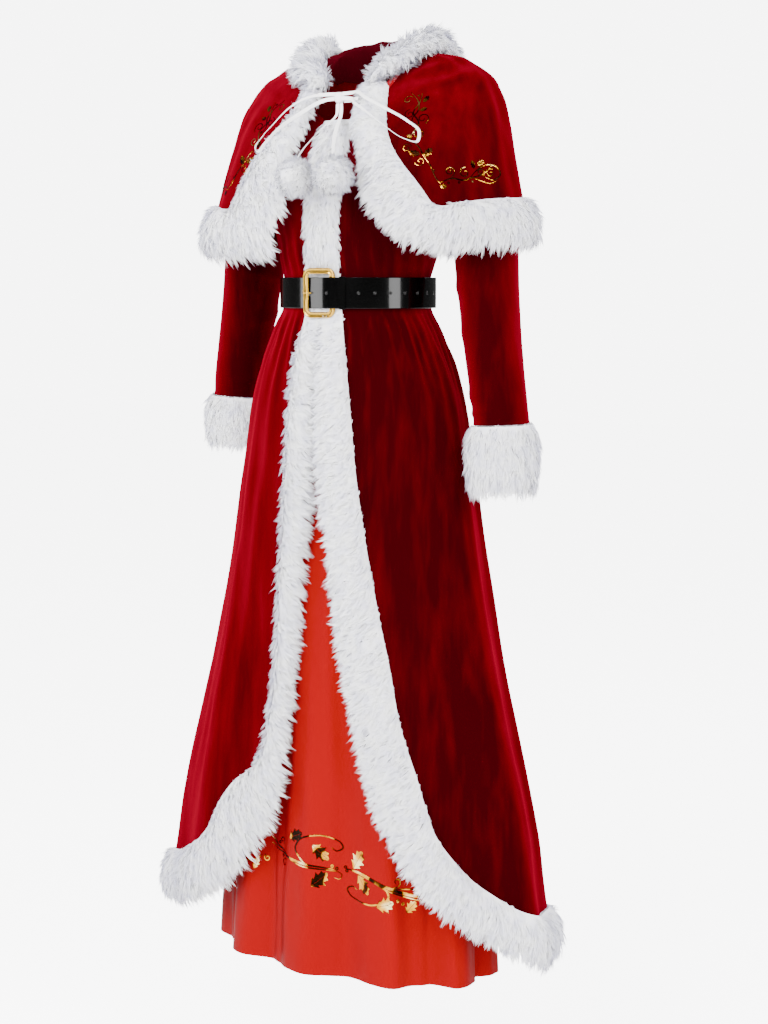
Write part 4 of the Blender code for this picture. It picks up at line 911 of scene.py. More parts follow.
def makeCuff(name, last, run, seed):
    # rings down the cuff swell from the sleeve's end: r = 1.05 + .19 sin(pi s)^.6
    middle = last.mean(axis=0)
    steps = np.linspace(0.0, 1.0, 18)
    spokes = curve(np.concatenate([last[-2:], last, last[:3]]), 2.0 + np.linspace(0.0, 14.0, 49)) - middle
    swell = 1.05 + 0.19 * np.sin(np.pi * np.clip(steps * 0.92 + 0.04, 0.0, 1.0)) ** 0.6
    reach = 0.02 + 0.94 * steps
    grid = middle + run * reach[:, None, None] + spokes[None] * swell[:, None, None]
    normal = ringNormals(grid, grid.mean(axis=1, keepdims=True))
    size = (0.02 + 0.004 * fade(steps, 0.5, 1.0))[:, None]
    dense = np.ones((17, 48)) * (1.0 + 0.9 * fade(steps[1:], 0.75, 1.0))[:, None]
    furPiece("cuff_fur_" + name, grid, normal, unit(run), size,
             dict(pile, locks=1600, spread=0.0044, lay=1.32, density=dense), seed)


makeBodice()
makeSleeves()
print("bodice and sleeves made")


cape = {"rows": 48, "across": 40, "acrossBack": 70, "neckZ": 0.0395, "hemZ": -0.186, "hemDrop": 0.01,
        "furDrop": 0.062, "side": 90.0, "flat": (0.74, 0.5), "area": 0.235}
capeBand = {"height": 0.017, "longer": 0.008, "fall": 0.25, "locks": 1700}
capeBackBand = dict(capeBand, locks=1000)
# the neck's edge from the front corner to the side, as angles and heights
capeNeck = ((20.0, -0.018), (24.0, 0.004), (30.0, 0.021), (42.0, 0.031), (58.0, 0.0355), (74.0, 0.0385),
            (90.0, 0.0395))
capeTable = {
    "z":     (-0.290, -0.240, -0.190, -0.130, -0.075, -0.030, 0.0000, 0.0160, 0.0300, 0.0400, 0.0450),
    "half":  (0.2960, 0.2860, 0.2680, 0.2530, 0.2410, 0.2260, 0.2070, 0.1820, 0.1500, 0.0850, 0.0550),
    "front": (0.1600, 0.1580, 0.1520, 0.1400, 0.1180, 0.0850, 0.0550, 0.0360, 0.0240, 0.0140, 0.0090),
    "back":  (0.1500, 0.1450, 0.1400, 0.1330, 0.1220, 0.1080, 0.0950, 0.0820, 0.0700, 0.0580, 0.0450),
    "shift": (0.0240, 0.0260, 0.0300, 0.0350, 0.0400, 0.0430, 0.0450, 0.0450, 0.0450, 0.0450, 0.0450)}
# as on the skirt: the velvet's edge and the fur's, down the front and round the hem
capeEdges = {
    "left": {
        "corner": 6,
        "velvetAngle": (20.0, 22.0, 24.0, 27.0, 32.0, 38.0, 43.5, 56.0, 70.0, 90.0),
        "velvetZ": (-0.018, -0.047, -0.077, -0.105, -0.135, -0.165, -0.199, -0.194, -0.189, -0.186),
        "furAngle": (6.0, 7.5, 9.5, 13.0, 16.5, 20.5, 31.0, 48.0, 67.0, 90.0),
        "furZ": (-0.02, -0.049, -0.08, -0.108, -0.14, -0.19, -0.24, -0.258, -0.252, -0.248)},
    "right": {
        "corner": 6,
        "velvetAngle": (20.0, 19.0, 22.0, 28.0, 33.0, 37.0, 39.0, 53.0, 70.0, 90.0),
        "velvetZ": (-0.018, -0.047, -0.078, -0.099, -0.128, -0.162, -0.197, -0.193, -0.189, -0.186),
        "furAngle": (7.0, 6.0, 5.5, 6.5, 9.0, 12.5, 15.0, 34.0, 60.0, 90.0),
        "furZ": (-0.02, -0.052, -0.08, -0.111, -0.145, -0.19, -0.262, -0.27, -0.258, -0.248)}}
capeFolds = (
    (46, 20, 4.0, 0.003, 0.0, -0.4), (60, -10, 4.0, 0.0038, 0.01, -0.4), (76, 15, 4.5, 0.004, 0.01, -0.4),
    (94, -8, 4.5, 0.004, 0.02, -0.4), (114, 6, 5.0, 0.0042, 0.02, -0.4), (136, -6, 5.0, 0.0042, 0.01, -0.4),
    (158, 4, 5.0, 0.004, 0.01, -0.4), (180, 0, 5.0, 0.004, 0.0, -0.4), (202, -5, 5.0, 0.0042, 0.01, -0.4),
    (224, 6, 5.0, 0.0042, 0.01, -0.4), (246, -6, 5.0, 0.004, 0.02, -0.4), (266, 8, 4.5, 0.004, 0.02, -0.4),
    (-76, -15, 4.5, 0.004, 0.01, -0.4), (-60, 10, 4.0, 0.0035, 0.01, -0.4), (-45, -18, 4.0, 0.003, 0.0, -0.4))
# soft creases round the collar: middle angle, width, height, height above the shoulder line, slope
collarCreases = ((46.0, 15.0, 0.0042, 0.012, 0.0006), (58.0, 18.0, 0.0034, -0.004, 0.0007))


def capeForm(angle, z):
    # the solids' section with eight shallow waves that grow downwards
    fold = 0.004 * np.clip(-z / 0.2, 0.0, 1.0) * np.cos(np.radians(8.0 * angle + 15.0))
    return section(capeTable, angle, z, fold)


def capeLook(angle, z):
    # soft folds run down over each arm from the neck
    base = capeForm(angle, z)
    up = section(capeTable, angle, z + 0.002) - section(capeTable, angle, z - 0.002)
    across = section(capeTable, angle + 0.5, z) - section(capeTable, angle - 0.5, z)
    normal = unit(np.cross(across, up))
    ripple = 0.0008 * np.sin(np.radians(17.0 * angle) + 19.0 * z) * np.sin(np.radians(5 * angle) - 27.0 * z)
    amount = (crease(angle, z, capeFolds) - 0.0012) * fade(-z, -0.02, 0.05) + ripple
    side = np.abs((angle + 180.0) % 360.0 - 180.0)
    for middle, width, height, level, slope in collarCreases:
        arc = (z - (level + slope * (side - middle))) / 0.0062
        amount = amount + height * np.exp(-arc ** 2) * np.exp(-((side - middle) / width) ** 2)
    return base + normal * amount[..., None]


def capeFur(node, edge, free, band, seed):
    # narrower and shorter at the neck, where the two fronts leave the collar open below the tie
    high = fade(free[:, 1], -0.175, -0.105)
    pull = high * np.where(free[:, 0] < 0.0, 0.34, 0.06)
    furBand(node, edge, free + (edge - free) * pull[:, None], capeForm, band, 1.0 - 0.45 * high, seed)


def makeCapelet():
    along, end = cape["across"], cape["side"]
    shares = np.linspace(0.0, 1.0, cape["rows"])
    neck = curve(np.array(capeNeck), np.linspace(0.0, len(capeNeck) - 1.0, along))
    patches = {}
    for name, sign in sides:
        top = together(sign * neck[:, 0], neck[:, 1])
        patches[name], edge, free = frontPanel(capeEdges[name], sign, sign * end, shares, along, top, ease=1.6)
        free[-1, 0] = edge[-1, 0] = sign * (end - 0.05)
        capeFur("cape_fur_front_" + name, edge, free, capeBand, 31 if sign > 0 else 32)
    angles = np.linspace(end, 360.0 - end, cape["acrossBack"])
    hemZ = cape["hemZ"] - cape["hemDrop"] * (0.5 - 0.5 * np.cos(np.radians((angles - end) * 2.0)))
    backZ = cape["neckZ"] + (hemZ - cape["neckZ"])[None, :] * shares[:, None] ** 1.6
    back = together(angles, backZ)
    right = patches["right"][:, ::-1] + np.array([360.0, 0.0])
    patch = np.concatenate([patches["left"], back[:, 1:-1], right], axis=1)
    angle, z = np.where(patch[..., 0] > 180.0, patch[..., 0] - 360.0, patch[..., 0]), patch[..., 1]
    panel = shell("cape_cloth", capeLook(angle, z), formNormals(capeLook, angle, z), velvetThick, velvet,
                  "cape", inside=paintedLightLining)
    capeFur("cape_fur_back", together(angles, hemZ), together(angles, hemZ - cape["furDrop"]), capeBackBand, 33)


makeCapelet()
print("capelet made")


hoodSize = {"rows": 44, "columns": 70, "thick": 0.0011, "seams": (("left", 42.0, 179.85), ("right", 180.15, 318.0)),
            "liningRows": 8, "liningDrop": 0.04, "bagBegins": (100.0, 24.0), "bagFull": (130.0, 30.0), "bulge": 0.48,
            "flat": (0.36, 0.3), "area": 0.0505}
# round the neck from the front: distance and height of the fur ring and of the neck seam
hoodTable = {
    "angle": (42.0, 60.0, 80.0, 101.0, 125.0, 150.0, 180.0),
    "ringR": (0.09, 0.087, 0.0905, 0.104, 0.13, 0.146, 0.152),
    "ringZ": (0.014, 0.034, 0.056, 0.065, 0.052, 0.04, 0.034),
    "seamR": (0.072, 0.068, 0.065, 0.065, 0.064, 0.062, 0.061),
    "seamZ": (-0.014, 0.006, 0.028, 0.043, 0.0435, 0.043, 0.043)}
# the bag's profile from the neck seam over the roll to its rim: where it begins, and at its full depth
bagStart = {
    "r": (0.063, 0.0655, 0.072, 0.086, 0.104, 0.122, 0.138, 0.152, 0.158, 0.154, 0.1407),
    "z": (0.043, 0.055, 0.06, 0.05, 0.03, 0.008, -0.012, -0.018, -0.008, 0.006, 0.0195)}
bagFull = {
    "r": (0.061, 0.0635, 0.07, 0.085, 0.104, 0.127, 0.146, 0.17, 0.177, 0.168, 0.152),
    "z": (0.043, 0.0575, 0.068, 0.056, 0.01, -0.06, -0.115, -0.105, -0.06, -0.02, 0.01)}
neckY = 0.045
ringHalf = (0.028, 0.021)
# the fur ring's front ends, ahead of the hood table: angle, distance and height
ringEnds = {"angle": (28.0, 34.0), "r": (0.0915, 0.0905), "z": (-0.016, -0.004)}


def polar(angle, distance, z):
    # a place by its angle and distance from the neck's axis
    turn = np.radians(angle)
    return together(distance * np.sin(turn), neckY - distance * np.cos(turn), z)


def hoodGrid(angles, rows):
    # profiles from the neck seam over the roll: a strip at the sides, the bag's two profiles at the back
    mirrored = np.minimum(angles, 360.0 - angles)
    read = {key: smooth(mirrored, hoodTable["angle"], hoodTable[key]) for key in hoodTable if key != "angle"}
    begun, full = (np.clip((mirrored - first) / wide, 0.0, 1.0)
                   for first, wide in (hoodSize["bagBegins"], hoodSize["bagFull"]))
    last = len(bagStart["r"]) - 1.0
    at = np.linspace(0.0, last, rows)
    share = (at / last)[:, None]
    rimR = read["ringR"] - 0.5 * ringHalf[0] * (1 - begun)
    rimZ = read["ringZ"] - ringHalf[1] * (1 - 0.134 * (1 - begun)) - 0.0018
    bulge = hoodSize["bulge"] * (rimR - read["seamR"]) * share * (1 - share)
    strip = {"r": read["seamR"] + (rimR - read["seamR"]) * share,
             "z": read["seamZ"] + (rimZ - read["seamZ"]) * share + bulge}
    mixed = []
    for key, rim in (("r", rimR), ("z", rimZ)):
        start = curve(np.array(bagStart[key]), at)[:, None]
        whole = curve(np.array(bagFull[key]), at)[:, None]
        path = (strip[key] * (1 - begun) + start * begun) * (1 - full) + whole * full
        mixed.append(path + (rim - path[-1])[None, :] * share ** 4)
    return polar(angles, *mixed)


def makeHood():
    size = hoodSize
    for name, first, last in size["seams"]:
        angles = np.linspace(first, last, size["columns"])
        grid = hoodGrid(angles, size["rows"])
        # its lining runs on down inside the collar, so nothing gapes behind the neck
        mirrored = np.minimum(angles, 360.0 - angles)
        drop = np.linspace(size["liningDrop"], 0.005, size["liningRows"])[:, None]
        drop = drop * (0.1 + 0.9 * fade(mirrored, 60.0, 95.0))
        grid = np.concatenate([grid[:1] - drop[..., None] * upwards, grid])
        normal = gridNormals(grid)
        normal = normal * np.sign(np.sum(normal[:9] * (grid[:9] - (0.0, neckY, 0.04))))
        down = np.linspace(0.0, 1.0, len(grid))[:, None]
        lift = 0.0009 * np.sin(np.pi * down) * np.sin(np.radians(14.0 * angles))[None, :]
        # the hood's inside takes the darker velvet, painted shade along its roll
        panel = shell("hood_" + name + "_cloth", grid + normal * lift[..., None], normal, size["thick"], velvet,
                      "hood_" + name, inside=hoodInsideShadedVelvet)


def makeHoodFur():
    # the ring follows the hood's edge; its section is an ellipse that narrows at the front ends and behind
    angles = np.linspace(29.0, 331.0, 250)
    mirrored = np.minimum(angles, 360.0 - angles)
    places = ringEnds["angle"] + hoodTable["angle"]
    centres = polar(angles, smooth(mirrored, places, ringEnds["r"] + hoodTable["ringR"]),
                    smooth(mirrored, places, ringEnds["z"] + hoodTable["ringZ"]))
    # the wearer's left is pulled in towards the neck, and the right has slipped a little outwards
    pull = 0.1 * fade(angles, 85.0, 120.0) * (1.0 - fade(angles, 150.0, 200.0))
    centres = centres - (centres - (0.0, neckY, 0.0)) * (1.0, 1.0, 0.0) * pull[:, None]
    slip = fade(angles, 250.0, 280.0) * (1.0 - fade(angles, 306.0, 326.0))
    centres = centres + np.array([-0.012, 0.0, -0.006]) * slip[:, None]
    behind = 1.7 * fade(mirrored, 104.0, 140.0)
    centres[:, 2] -= 0.009 * fade(mirrored, 36.0, 60.0) + 0.008 * behind
    swell = np.clip((mirrored - 30.0) / 22.0, 0.0, 1.0) ** 0.6 * 0.42 + 0.58
    swell = swell * np.clip((mirrored - 28.8) / 5.0, 0.03, 1.0) ** 0.5
    across = polar(angles, ringHalf[0] * 0.74 * swell, 0.0) - (0.0, neckY, 0.0)
    turn = np.linspace(0.0, 2 * math.pi, 29)[None, :, None]
    up = upwards * (ringHalf[1] * 0.72) * (swell * (1.0 - 0.22 * behind))[:, None]
    grid = centres[:, None] + across[:, None] * np.cos(turn) + up[:, None] * np.sin(turn)
    comb = unit(across)[:, None] * 0.9 - 0.35 * upwards
    size = 0.021 - 0.006 * behind[:, None]
    furPiece("hood_fur", grid, ringNormals(grid, centres[:, None]), comb, size,
             dict(pile, locks=2800, width=0.0013, lay=1.05, stray=0.55, droop=0.08, fray=0.0012), 41)


makeHood()
makeHoodFur()
print("hood made")


placket = {"rows": 90, "columns": 15, "height": 0.014, "pile": 0.015}
pompom = {"radius": 0.0258, "pile": 0.0095,
          "places": (("pompom_left", (0.0594, -0.1546, -0.156), 61),
                     ("pompom_right", (-0.009, -0.1528, -0.157), 62))}


def makePlacket():
    # a low dome, h cos(pi s / 2)^.6 across, from the belt to the collar, its pile combed down and outwards
    low, start = placketAngles()
    heights = np.concatenate([low, frontLine[1:4, 2]])
    edges = np.concatenate([section(bodiceTable, start, low)[:, 1], frontLine[1:4, 1]])
    z = np.linspace(heights[0] + 0.0005, heights[-1], placket["rows"])
    across = np.linspace(-1.0, 1.0, placket["columns"])
    tall = placket["height"] * np.clip((z - waistZ - 0.026) / 0.045, 0.07, 1.0)
    dome = np.cos(across * np.pi / 2) ** 0.6 * 0.72
    y = smooth(z, heights, edges)[:, None] - 0.001 - dome[None, :] * tall[:, None]
    grid = together(across * placketHalf * 0.93, y, z[:, None])
    comb = together(0.55 * np.sign(across) * np.abs(across) ** 1.5, 0.0, -1.0)
    size = placket["pile"] * (0.35 + 0.65 * tall / placket["height"])[:, None]
    furPiece("placket_fur", grid, gridNormals(grid, (0.0, 0.0, -0.2)), comb, size,
             dict(pile, locks=1000, spread=0.0042, width=0.0013, lay=1.25, stray=0.25, droop=0.08), 51)


def makePompoms():
    # a ball of pile that hangs and strays all ways
    for name, centre, seed in pompom["places"]:
        way = ball(17, 33)[2]
        furPiece(name, np.array(centre) + way * pompom["radius"], way, (0.1, -0.3, -1.0), pompom["pile"],
                 dict(pile, locks=500, spread=0.0034, width=0.0011, lay=0.8, stray=0.8, droop=0.02, gather=0.35,
                      fray=0.0012), seed)


makePlacket()
makePompoms()
print("placket and pompoms made")


beltSize = {"half": 0.1225, "depth": 0.0985, "height": 0.047, "thick": 0.0022, "edge": 0.42,
            "strapOut": 0.002, "tailOut": 0.0048, "keeperOut": 0.0075, "keeperHeight": 0.049, "keeperThick": 0.0015,
            "holes": (6.8, 29.2, 40.8, 52.4, 64.2, 76.2, 88.4, 100.6)}
# a punched hole's pressed rim and dished middle: radius and height above the leather, from outside in
holeRings = {"radius": (0.0027, 0.0023, 0.0018, 0.0014, 0.0013),
             "height": (0.00012, 0.00055, 0.00055, 0.0003, 0.00022), "around": 24}
buckleSize = {"halfWidth": 0.0225, "halfHeight": 0.033, "corner": 0.008, "bar": 0.0045, "thick": 0.0017,
              "y": -0.1069, "lean": 0.004, "hammer": 0.00032, "prong": 0.00125}
# section across the buckle's bar, outer rim to inner bead: offset and height, in shares of bar and thick
buckleFace = ((1.0, -0.9), (1.04, -0.2), (1.0, 0.55), (0.9, 0.95), (0.76, 1.0), (0.62, 0.9), (0.52, 0.55),
              (0.3, 0.42), (-0.18, 0.42), (-0.36, 0.5), (-0.48, 0.85), (-0.64, 1.0), (-0.82, 0.92), (-0.96, 0.5),
              (-1.0, -0.2), (-0.96, -0.9))
# the prong's side view, x and y: hooked over the far bar, its point on the tail
prongRoute = ((-0.0285, -0.1058), (-0.0275, -0.1078), (-0.025, -0.1096), (-0.0225, -0.1101), (-0.0195, -0.1097),
              (-0.017, -0.1085), (-0.015, -0.1076), (-0.012, -0.1073))


def beltPoint(angle, z, out):
    # on the waist's ellipse, moved out: x = (a + out) sin t, y = -(b + out) cos t
    turn = np.radians(angle)
    return together((beltSize["half"] + out) * np.sin(turn), -(beltSize["depth"] + out) * np.cos(turn), z)


def strapSection(height, thick):
    # a flat strap with rounded long edges: rows of height and distance out, round the section
    half, edge = height / 2, thick * beltSize["edge"]
    flat = np.linspace(-half + edge, half - edge, 9)
    bend = np.linspace(-math.pi / 2, math.pi / 2, 5)
    up = np.concatenate([flat, half - edge + edge * np.cos(bend), flat[::-1], -half + edge - edge * np.cos(bend)])
    out = np.concatenate([thick + 0.00018 * np.cos(flat / half * 1.5), thick / 2 - thick / 2 * np.sin(bend),
                          0.0 * flat, thick / 2 + thick / 2 * np.sin(bend)])
    return up, out


def sweptStrap(name, angles, out, height, thick, looped=False):
    # the section follows the ellipse of the waist; out may change along it
    up, thickness = strapSection(height, thick)
    points = beltPoint(angles[:, None], waistZ + up, np.reshape(out, (-1, 1)) + thickness)
    piece = addMesh(name + "_leather", points.reshape(-1, 3), rodFaces(*points.shape[:2], looped), patent)
    outward(piece, 50.0)
    fasten(piece, name)


def tailLift(angle):
    # the tail rides over the buckle's near bar and lies flat again before the keeper
    x = (beltSize["half"] + 0.006) * np.sin(np.radians(angle))
    return 0.0037 * fade(x, -0.015, 0.019) * (1.0 - fade(x, 0.0235, 0.0335))


def makeBelt():
    size = beltSize
    sweptStrap("belt_strap", np.linspace(0.0, 360.0, 240, endpoint=False), size["strapOut"], size["height"],
               size["thick"], True)
    angles = np.concatenate([np.linspace(-7.0, 20.0, 90), np.linspace(20.5, 118.0, 110)])
    sweptStrap("belt_tail", angles, size["tailOut"] + tailLift(angles), size["height"], size["thick"])
    sweptStrap("belt_keeper", np.linspace(15.5, 20.0, 9), size["keeperOut"], size["keeperHeight"],
               size["keeperThick"])
    for number, angle in enumerate(size["holes"]):
        makeHole("belt_hole_" + str(number + 1), angle, size["tailOut"] + size["thick"] + tailLift(angle))


def makeHole(name, angle, out):
    # rings round the hole's middle: p = c + r (across cos t + up sin t) + h normal, closed by one point
    centre, ahead = (beltPoint(np.array(float(a)), np.array(waistZ), out) for a in (angle, angle + 1.0))
    across, up = unit(ahead - centre), upwards
    normal = np.cross(across, up)
    normal = normal * np.sign(np.sum(normal * (centre * (1.0, 1.0, 0.0))))
    count, rows = holeRings["around"], len(holeRings["radius"])
    turn = np.linspace(0.0, 2 * math.pi, count, endpoint=False)[:, None]
    rings = [centre + across * r * np.cos(turn) + up * r * np.sin(turn) + normal * h
             for r, h in zip(holeRings["radius"], holeRings["height"])]
    points = np.concatenate(rings + [(centre + normal * holeRings["height"][-1])[None, :]])
    last = (rows - 1) * count + np.arange(count)
    fan = together(last, np.roll(last, -1), np.full(count, rows * count))
    piece = addMesh(name, points, [gridFaces(rows, count, True), fan], patent)
    secondMaterial(piece, dark, (rows - 1) * count, None)
    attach(piece, "root")


def bucklePath(size):
    # a rounded oblong as x, z and the way out at each place: four quarter turns, each with a straight after it
    centres = np.array(((1, 1), (-1, 1), (-1, -1), (1, -1)), float)
    centres = centres * (size["halfWidth"] - size["corner"], size["halfHeight"] - size["corner"])
    turn = np.radians(np.array((0, 90, 180, 270))[:, None] + np.linspace(0.0, 90.0, 9))
    way = together(np.cos(turn), np.sin(turn))
    bends = centres[:, None] + size["corner"] * way
    share = np.linspace(0.0, 1.0, 14)[1:-1, None]
    starts = bends[:, -1:]
    ends = np.roll(bends[:, :1], -1, axis=0)
    runs = starts + (ends - starts) * share
    places = np.concatenate([bends, runs], axis=1)
    ways = np.concatenate([way, np.broadcast_to(way[:, -1:], runs.shape)], axis=1)
    return np.concatenate([places, ways], axis=-1).reshape(-1, 4)


def makeBuckle():
    # the section carried round the path; the frame leans, its far bar over the tail and its near bar under it
    size = buckleSize
    path = bucklePath(size)
    x, z, outX, outZ = (column[:, None] for column in path.T)
    offset, height = (np.array(buckleFace) * (size["bar"], size["thick"])).T
    y = size["y"] + (x + size["halfWidth"]) / (2 * size["halfWidth"]) * size["lean"]
    run = np.concatenate([[0.0], np.cumsum(np.linalg.norm(np.diff(path[:, :2], axis=0), axis=1))])[:, None]
    bead = (np.arange(len(offset)) >= 9) & (np.arange(len(offset)) <= 13)
    rough = size["hammer"] * np.sin(run * 1450.0) * bead  # small hammer marks along the inner bead
    points = together(x + outX * offset, y - height - rough, waistZ + z + outZ * offset)
    piece = addMesh("buckle_frame_metal", points.reshape(-1, 3), rodFaces(*points.shape[:2], True), gold)
    outward(piece, 60.0)
    fasten(piece, "buckle_frame")


def makeProng():
    # a round bar along its route, thinner at its point: p = c + r (across cos t + up sin t)
    count, around = 40, 14
    route = curve(np.array(prongRoute), np.linspace(0.0, len(prongRoute) - 1.0, count))
    centres = together(route[:, 0], route[:, 1], np.full(count, waistZ))
    radius = buckleSize["prong"] * np.clip(np.linspace(1.0, 0.0, count) * 6.0, 0.45, 1.0)[:, None, None]
    along = unit(np.gradient(centres, axis=0))
    across = unit(np.cross(along, upwards))
    up = np.cross(across, along)
    turn = np.linspace(0.0, 2 * math.pi, around, endpoint=False)[None, :, None]
    rings = centres[:, None] + across[:, None] * radius * np.cos(turn) + up[:, None] * radius * np.sin(turn)
    piece = addMesh("buckle_prong_metal", rings.reshape(-1, 3), rodFaces(count, around), gold)
    outward(piece)
    fasten(piece, "buckle_prong")


makeBelt()
makeBuckle()
makeProng()
print("belt and buckle made")


ribbonSize = {"width": 0.0058, "thick": 0.0005, "step": 0.0016, "hang": (0.0042, -0.0067, 0.0009)}
tieRoutes = {
    "tie_left": ((0.0186, -0.0625, -0.039), (0.03, -0.063, -0.039), (0.04, -0.066, -0.0375),
                 (0.0476, -0.0682, -0.0374)),
    "tie_right": ((0.0054, -0.0622, -0.0285), (-0.01, -0.0622, -0.0285), (-0.022, -0.06, -0.028),
                  (-0.0338, -0.0565, -0.0268)),
    "bow_loop_left": ((0.0186, -0.0675, -0.029), (0.0345, -0.068, -0.0285), (0.06, -0.088, -0.03),
                      (0.088, -0.108, -0.042), (0.118, -0.102, -0.058), (0.148, -0.092, -0.076),
                      (0.164, -0.084, -0.092), (0.163, -0.087, -0.106), (0.146, -0.098, -0.102),
                      (0.12, -0.108, -0.084), (0.09, -0.112, -0.062), (0.06, -0.1, -0.046),
                      (0.0345, -0.07, -0.037), (0.0186, -0.069, -0.0355)),
    "bow_loop_right": ((0.0054, -0.0675, -0.029), (-0.0105, -0.068, -0.0285), (-0.036, -0.085, -0.034),
                       (-0.062, -0.096, -0.05), (-0.086, -0.098, -0.07), (-0.106, -0.102, -0.09),
                       (-0.116, -0.106, -0.106), (-0.11, -0.11, -0.113), (-0.092, -0.11, -0.098),
                       (-0.068, -0.108, -0.078), (-0.042, -0.098, -0.06), (-0.0105, -0.07, -0.037),
                       (0.0054, -0.069, -0.0355)),
    "tail_left": ((0.0152, -0.0655, -0.0426), (0.0155, -0.0665, -0.058), (0.024, -0.09, -0.08),
                  (0.036, -0.116, -0.102), (0.048, -0.136, -0.119), (0.0565, -0.147, -0.129)),
    "tail_right": ((0.0088, -0.0655, -0.0426), (0.0085, -0.0665, -0.058), (0.001, -0.091, -0.08),
                   (-0.004, -0.118, -0.101), (-0.008, -0.137, -0.118), (-0.0097, -0.147, -0.129))}
# how far the flat side turns along each ribbon, degrees from facing the wearer's front
tieTwist = {"tie_left": (0, 15), "tie_right": (0, -15), "bow_loop_left": (10, 40, 60, 80, 40, 10),
            "bow_loop_right": (-10, -40, -55, -80, -40, -10), "tail_left": (0, 50, 80), "tail_right": (0, -40, -75)}
# the knot: its centre, half sizes, and how square it is
knotSize = {"centre": (0.012, -0.0655, -0.034), "half": (0.0068, 0.0058, 0.0078), "boxy": 3.2}


def routePoints(route, count):
    # evenly spaced places on a smooth curve through the route
    route = np.array(route)
    knots = np.concatenate([[0.0], np.cumsum(np.linalg.norm(np.diff(route, axis=0), axis=1))])
    at = np.linspace(0.0, knots[-1], count)
    return together(*(smooth(at, knots, column) for column in route.T))


def makeRibbon(name, route, twist):
    # a thin flat section, barely cupped, carried along the curve and turned slowly
    count = max(16, int(pathLength(np.array(route)) / ribbonSize["step"]))
    centres = routePoints(route, count)
    if name.startswith("tail"):  # the tails hang a little in front of the pile
        share = np.linspace(0.0, 1.0, count)[:, None]
        centres = centres + np.array(ribbonSize["hang"]) * np.sin(np.pi * share) ** 0.8
    along = unit(np.gradient(centres, axis=0))
    turn = np.radians(curve(np.array(twist, float)[:, None], np.linspace(0.0, len(twist) - 1.0, count)))
    side = unit(np.cross(along, np.array([0.0, -1.0, 0.12])))
    across = side * np.cos(turn) + np.cross(side, along) * np.sin(turn)
    up = np.cross(across, along)
    at = np.array((-1.0, -0.94, -0.5, 0.0, 0.5, 0.94, 1.0))
    top = np.array((0.0, 0.5, 0.72, 0.8, 0.72, 0.5, 0.0))
    wide = np.concatenate([at, at[-2:0:-1]])[:, None] * ribbonSize["width"] / 2
    high = np.concatenate([top, top[-2:0:-1] - 1.0])[:, None] * ribbonSize["thick"]
    points = centres[:, None] + across[:, None] * wide + up[:, None] * high
    piece = addMesh(name + "_ribbon", points.reshape(-1, 3), rodFaces(*points.shape[:2]), ribbon)
    outward(piece, 50.0)
    fasten(piece, name)
    return piece, centres


def makeKnot():
    # a small bundle: a ball squared off by p / (sum |p|^n)^(1/n), with seven wrinkles round it
    turn, lift, way = ball(25, 41)
    power = knotSize["boxy"]
    boxy = way / np.maximum(np.sum(np.abs(way) ** power, axis=-1, keepdims=True) ** (1 / power), 1e-6)
    wrinkle = 1.0 + 0.05 * np.sin(7 * turn + 4.0 * np.sin(lift * 2))[..., None] * np.cos(lift)[..., None]
    grid = np.array(knotSize["centre"]) + boxy * np.array(knotSize["half"]) * wrinkle
    piece = addMesh("tie_knot_ribbon", grid.reshape(-1, 3), [gridFaces(25, 41)], ribbon)
    outward(piece)
    fasten(piece, "tie_knot")


def makeTies():
    made = {name: makeRibbon(name, route, tieTwist[name]) for name, route in tieRoutes.items()}
    makeKnot()


makeTies()
print("ties made")


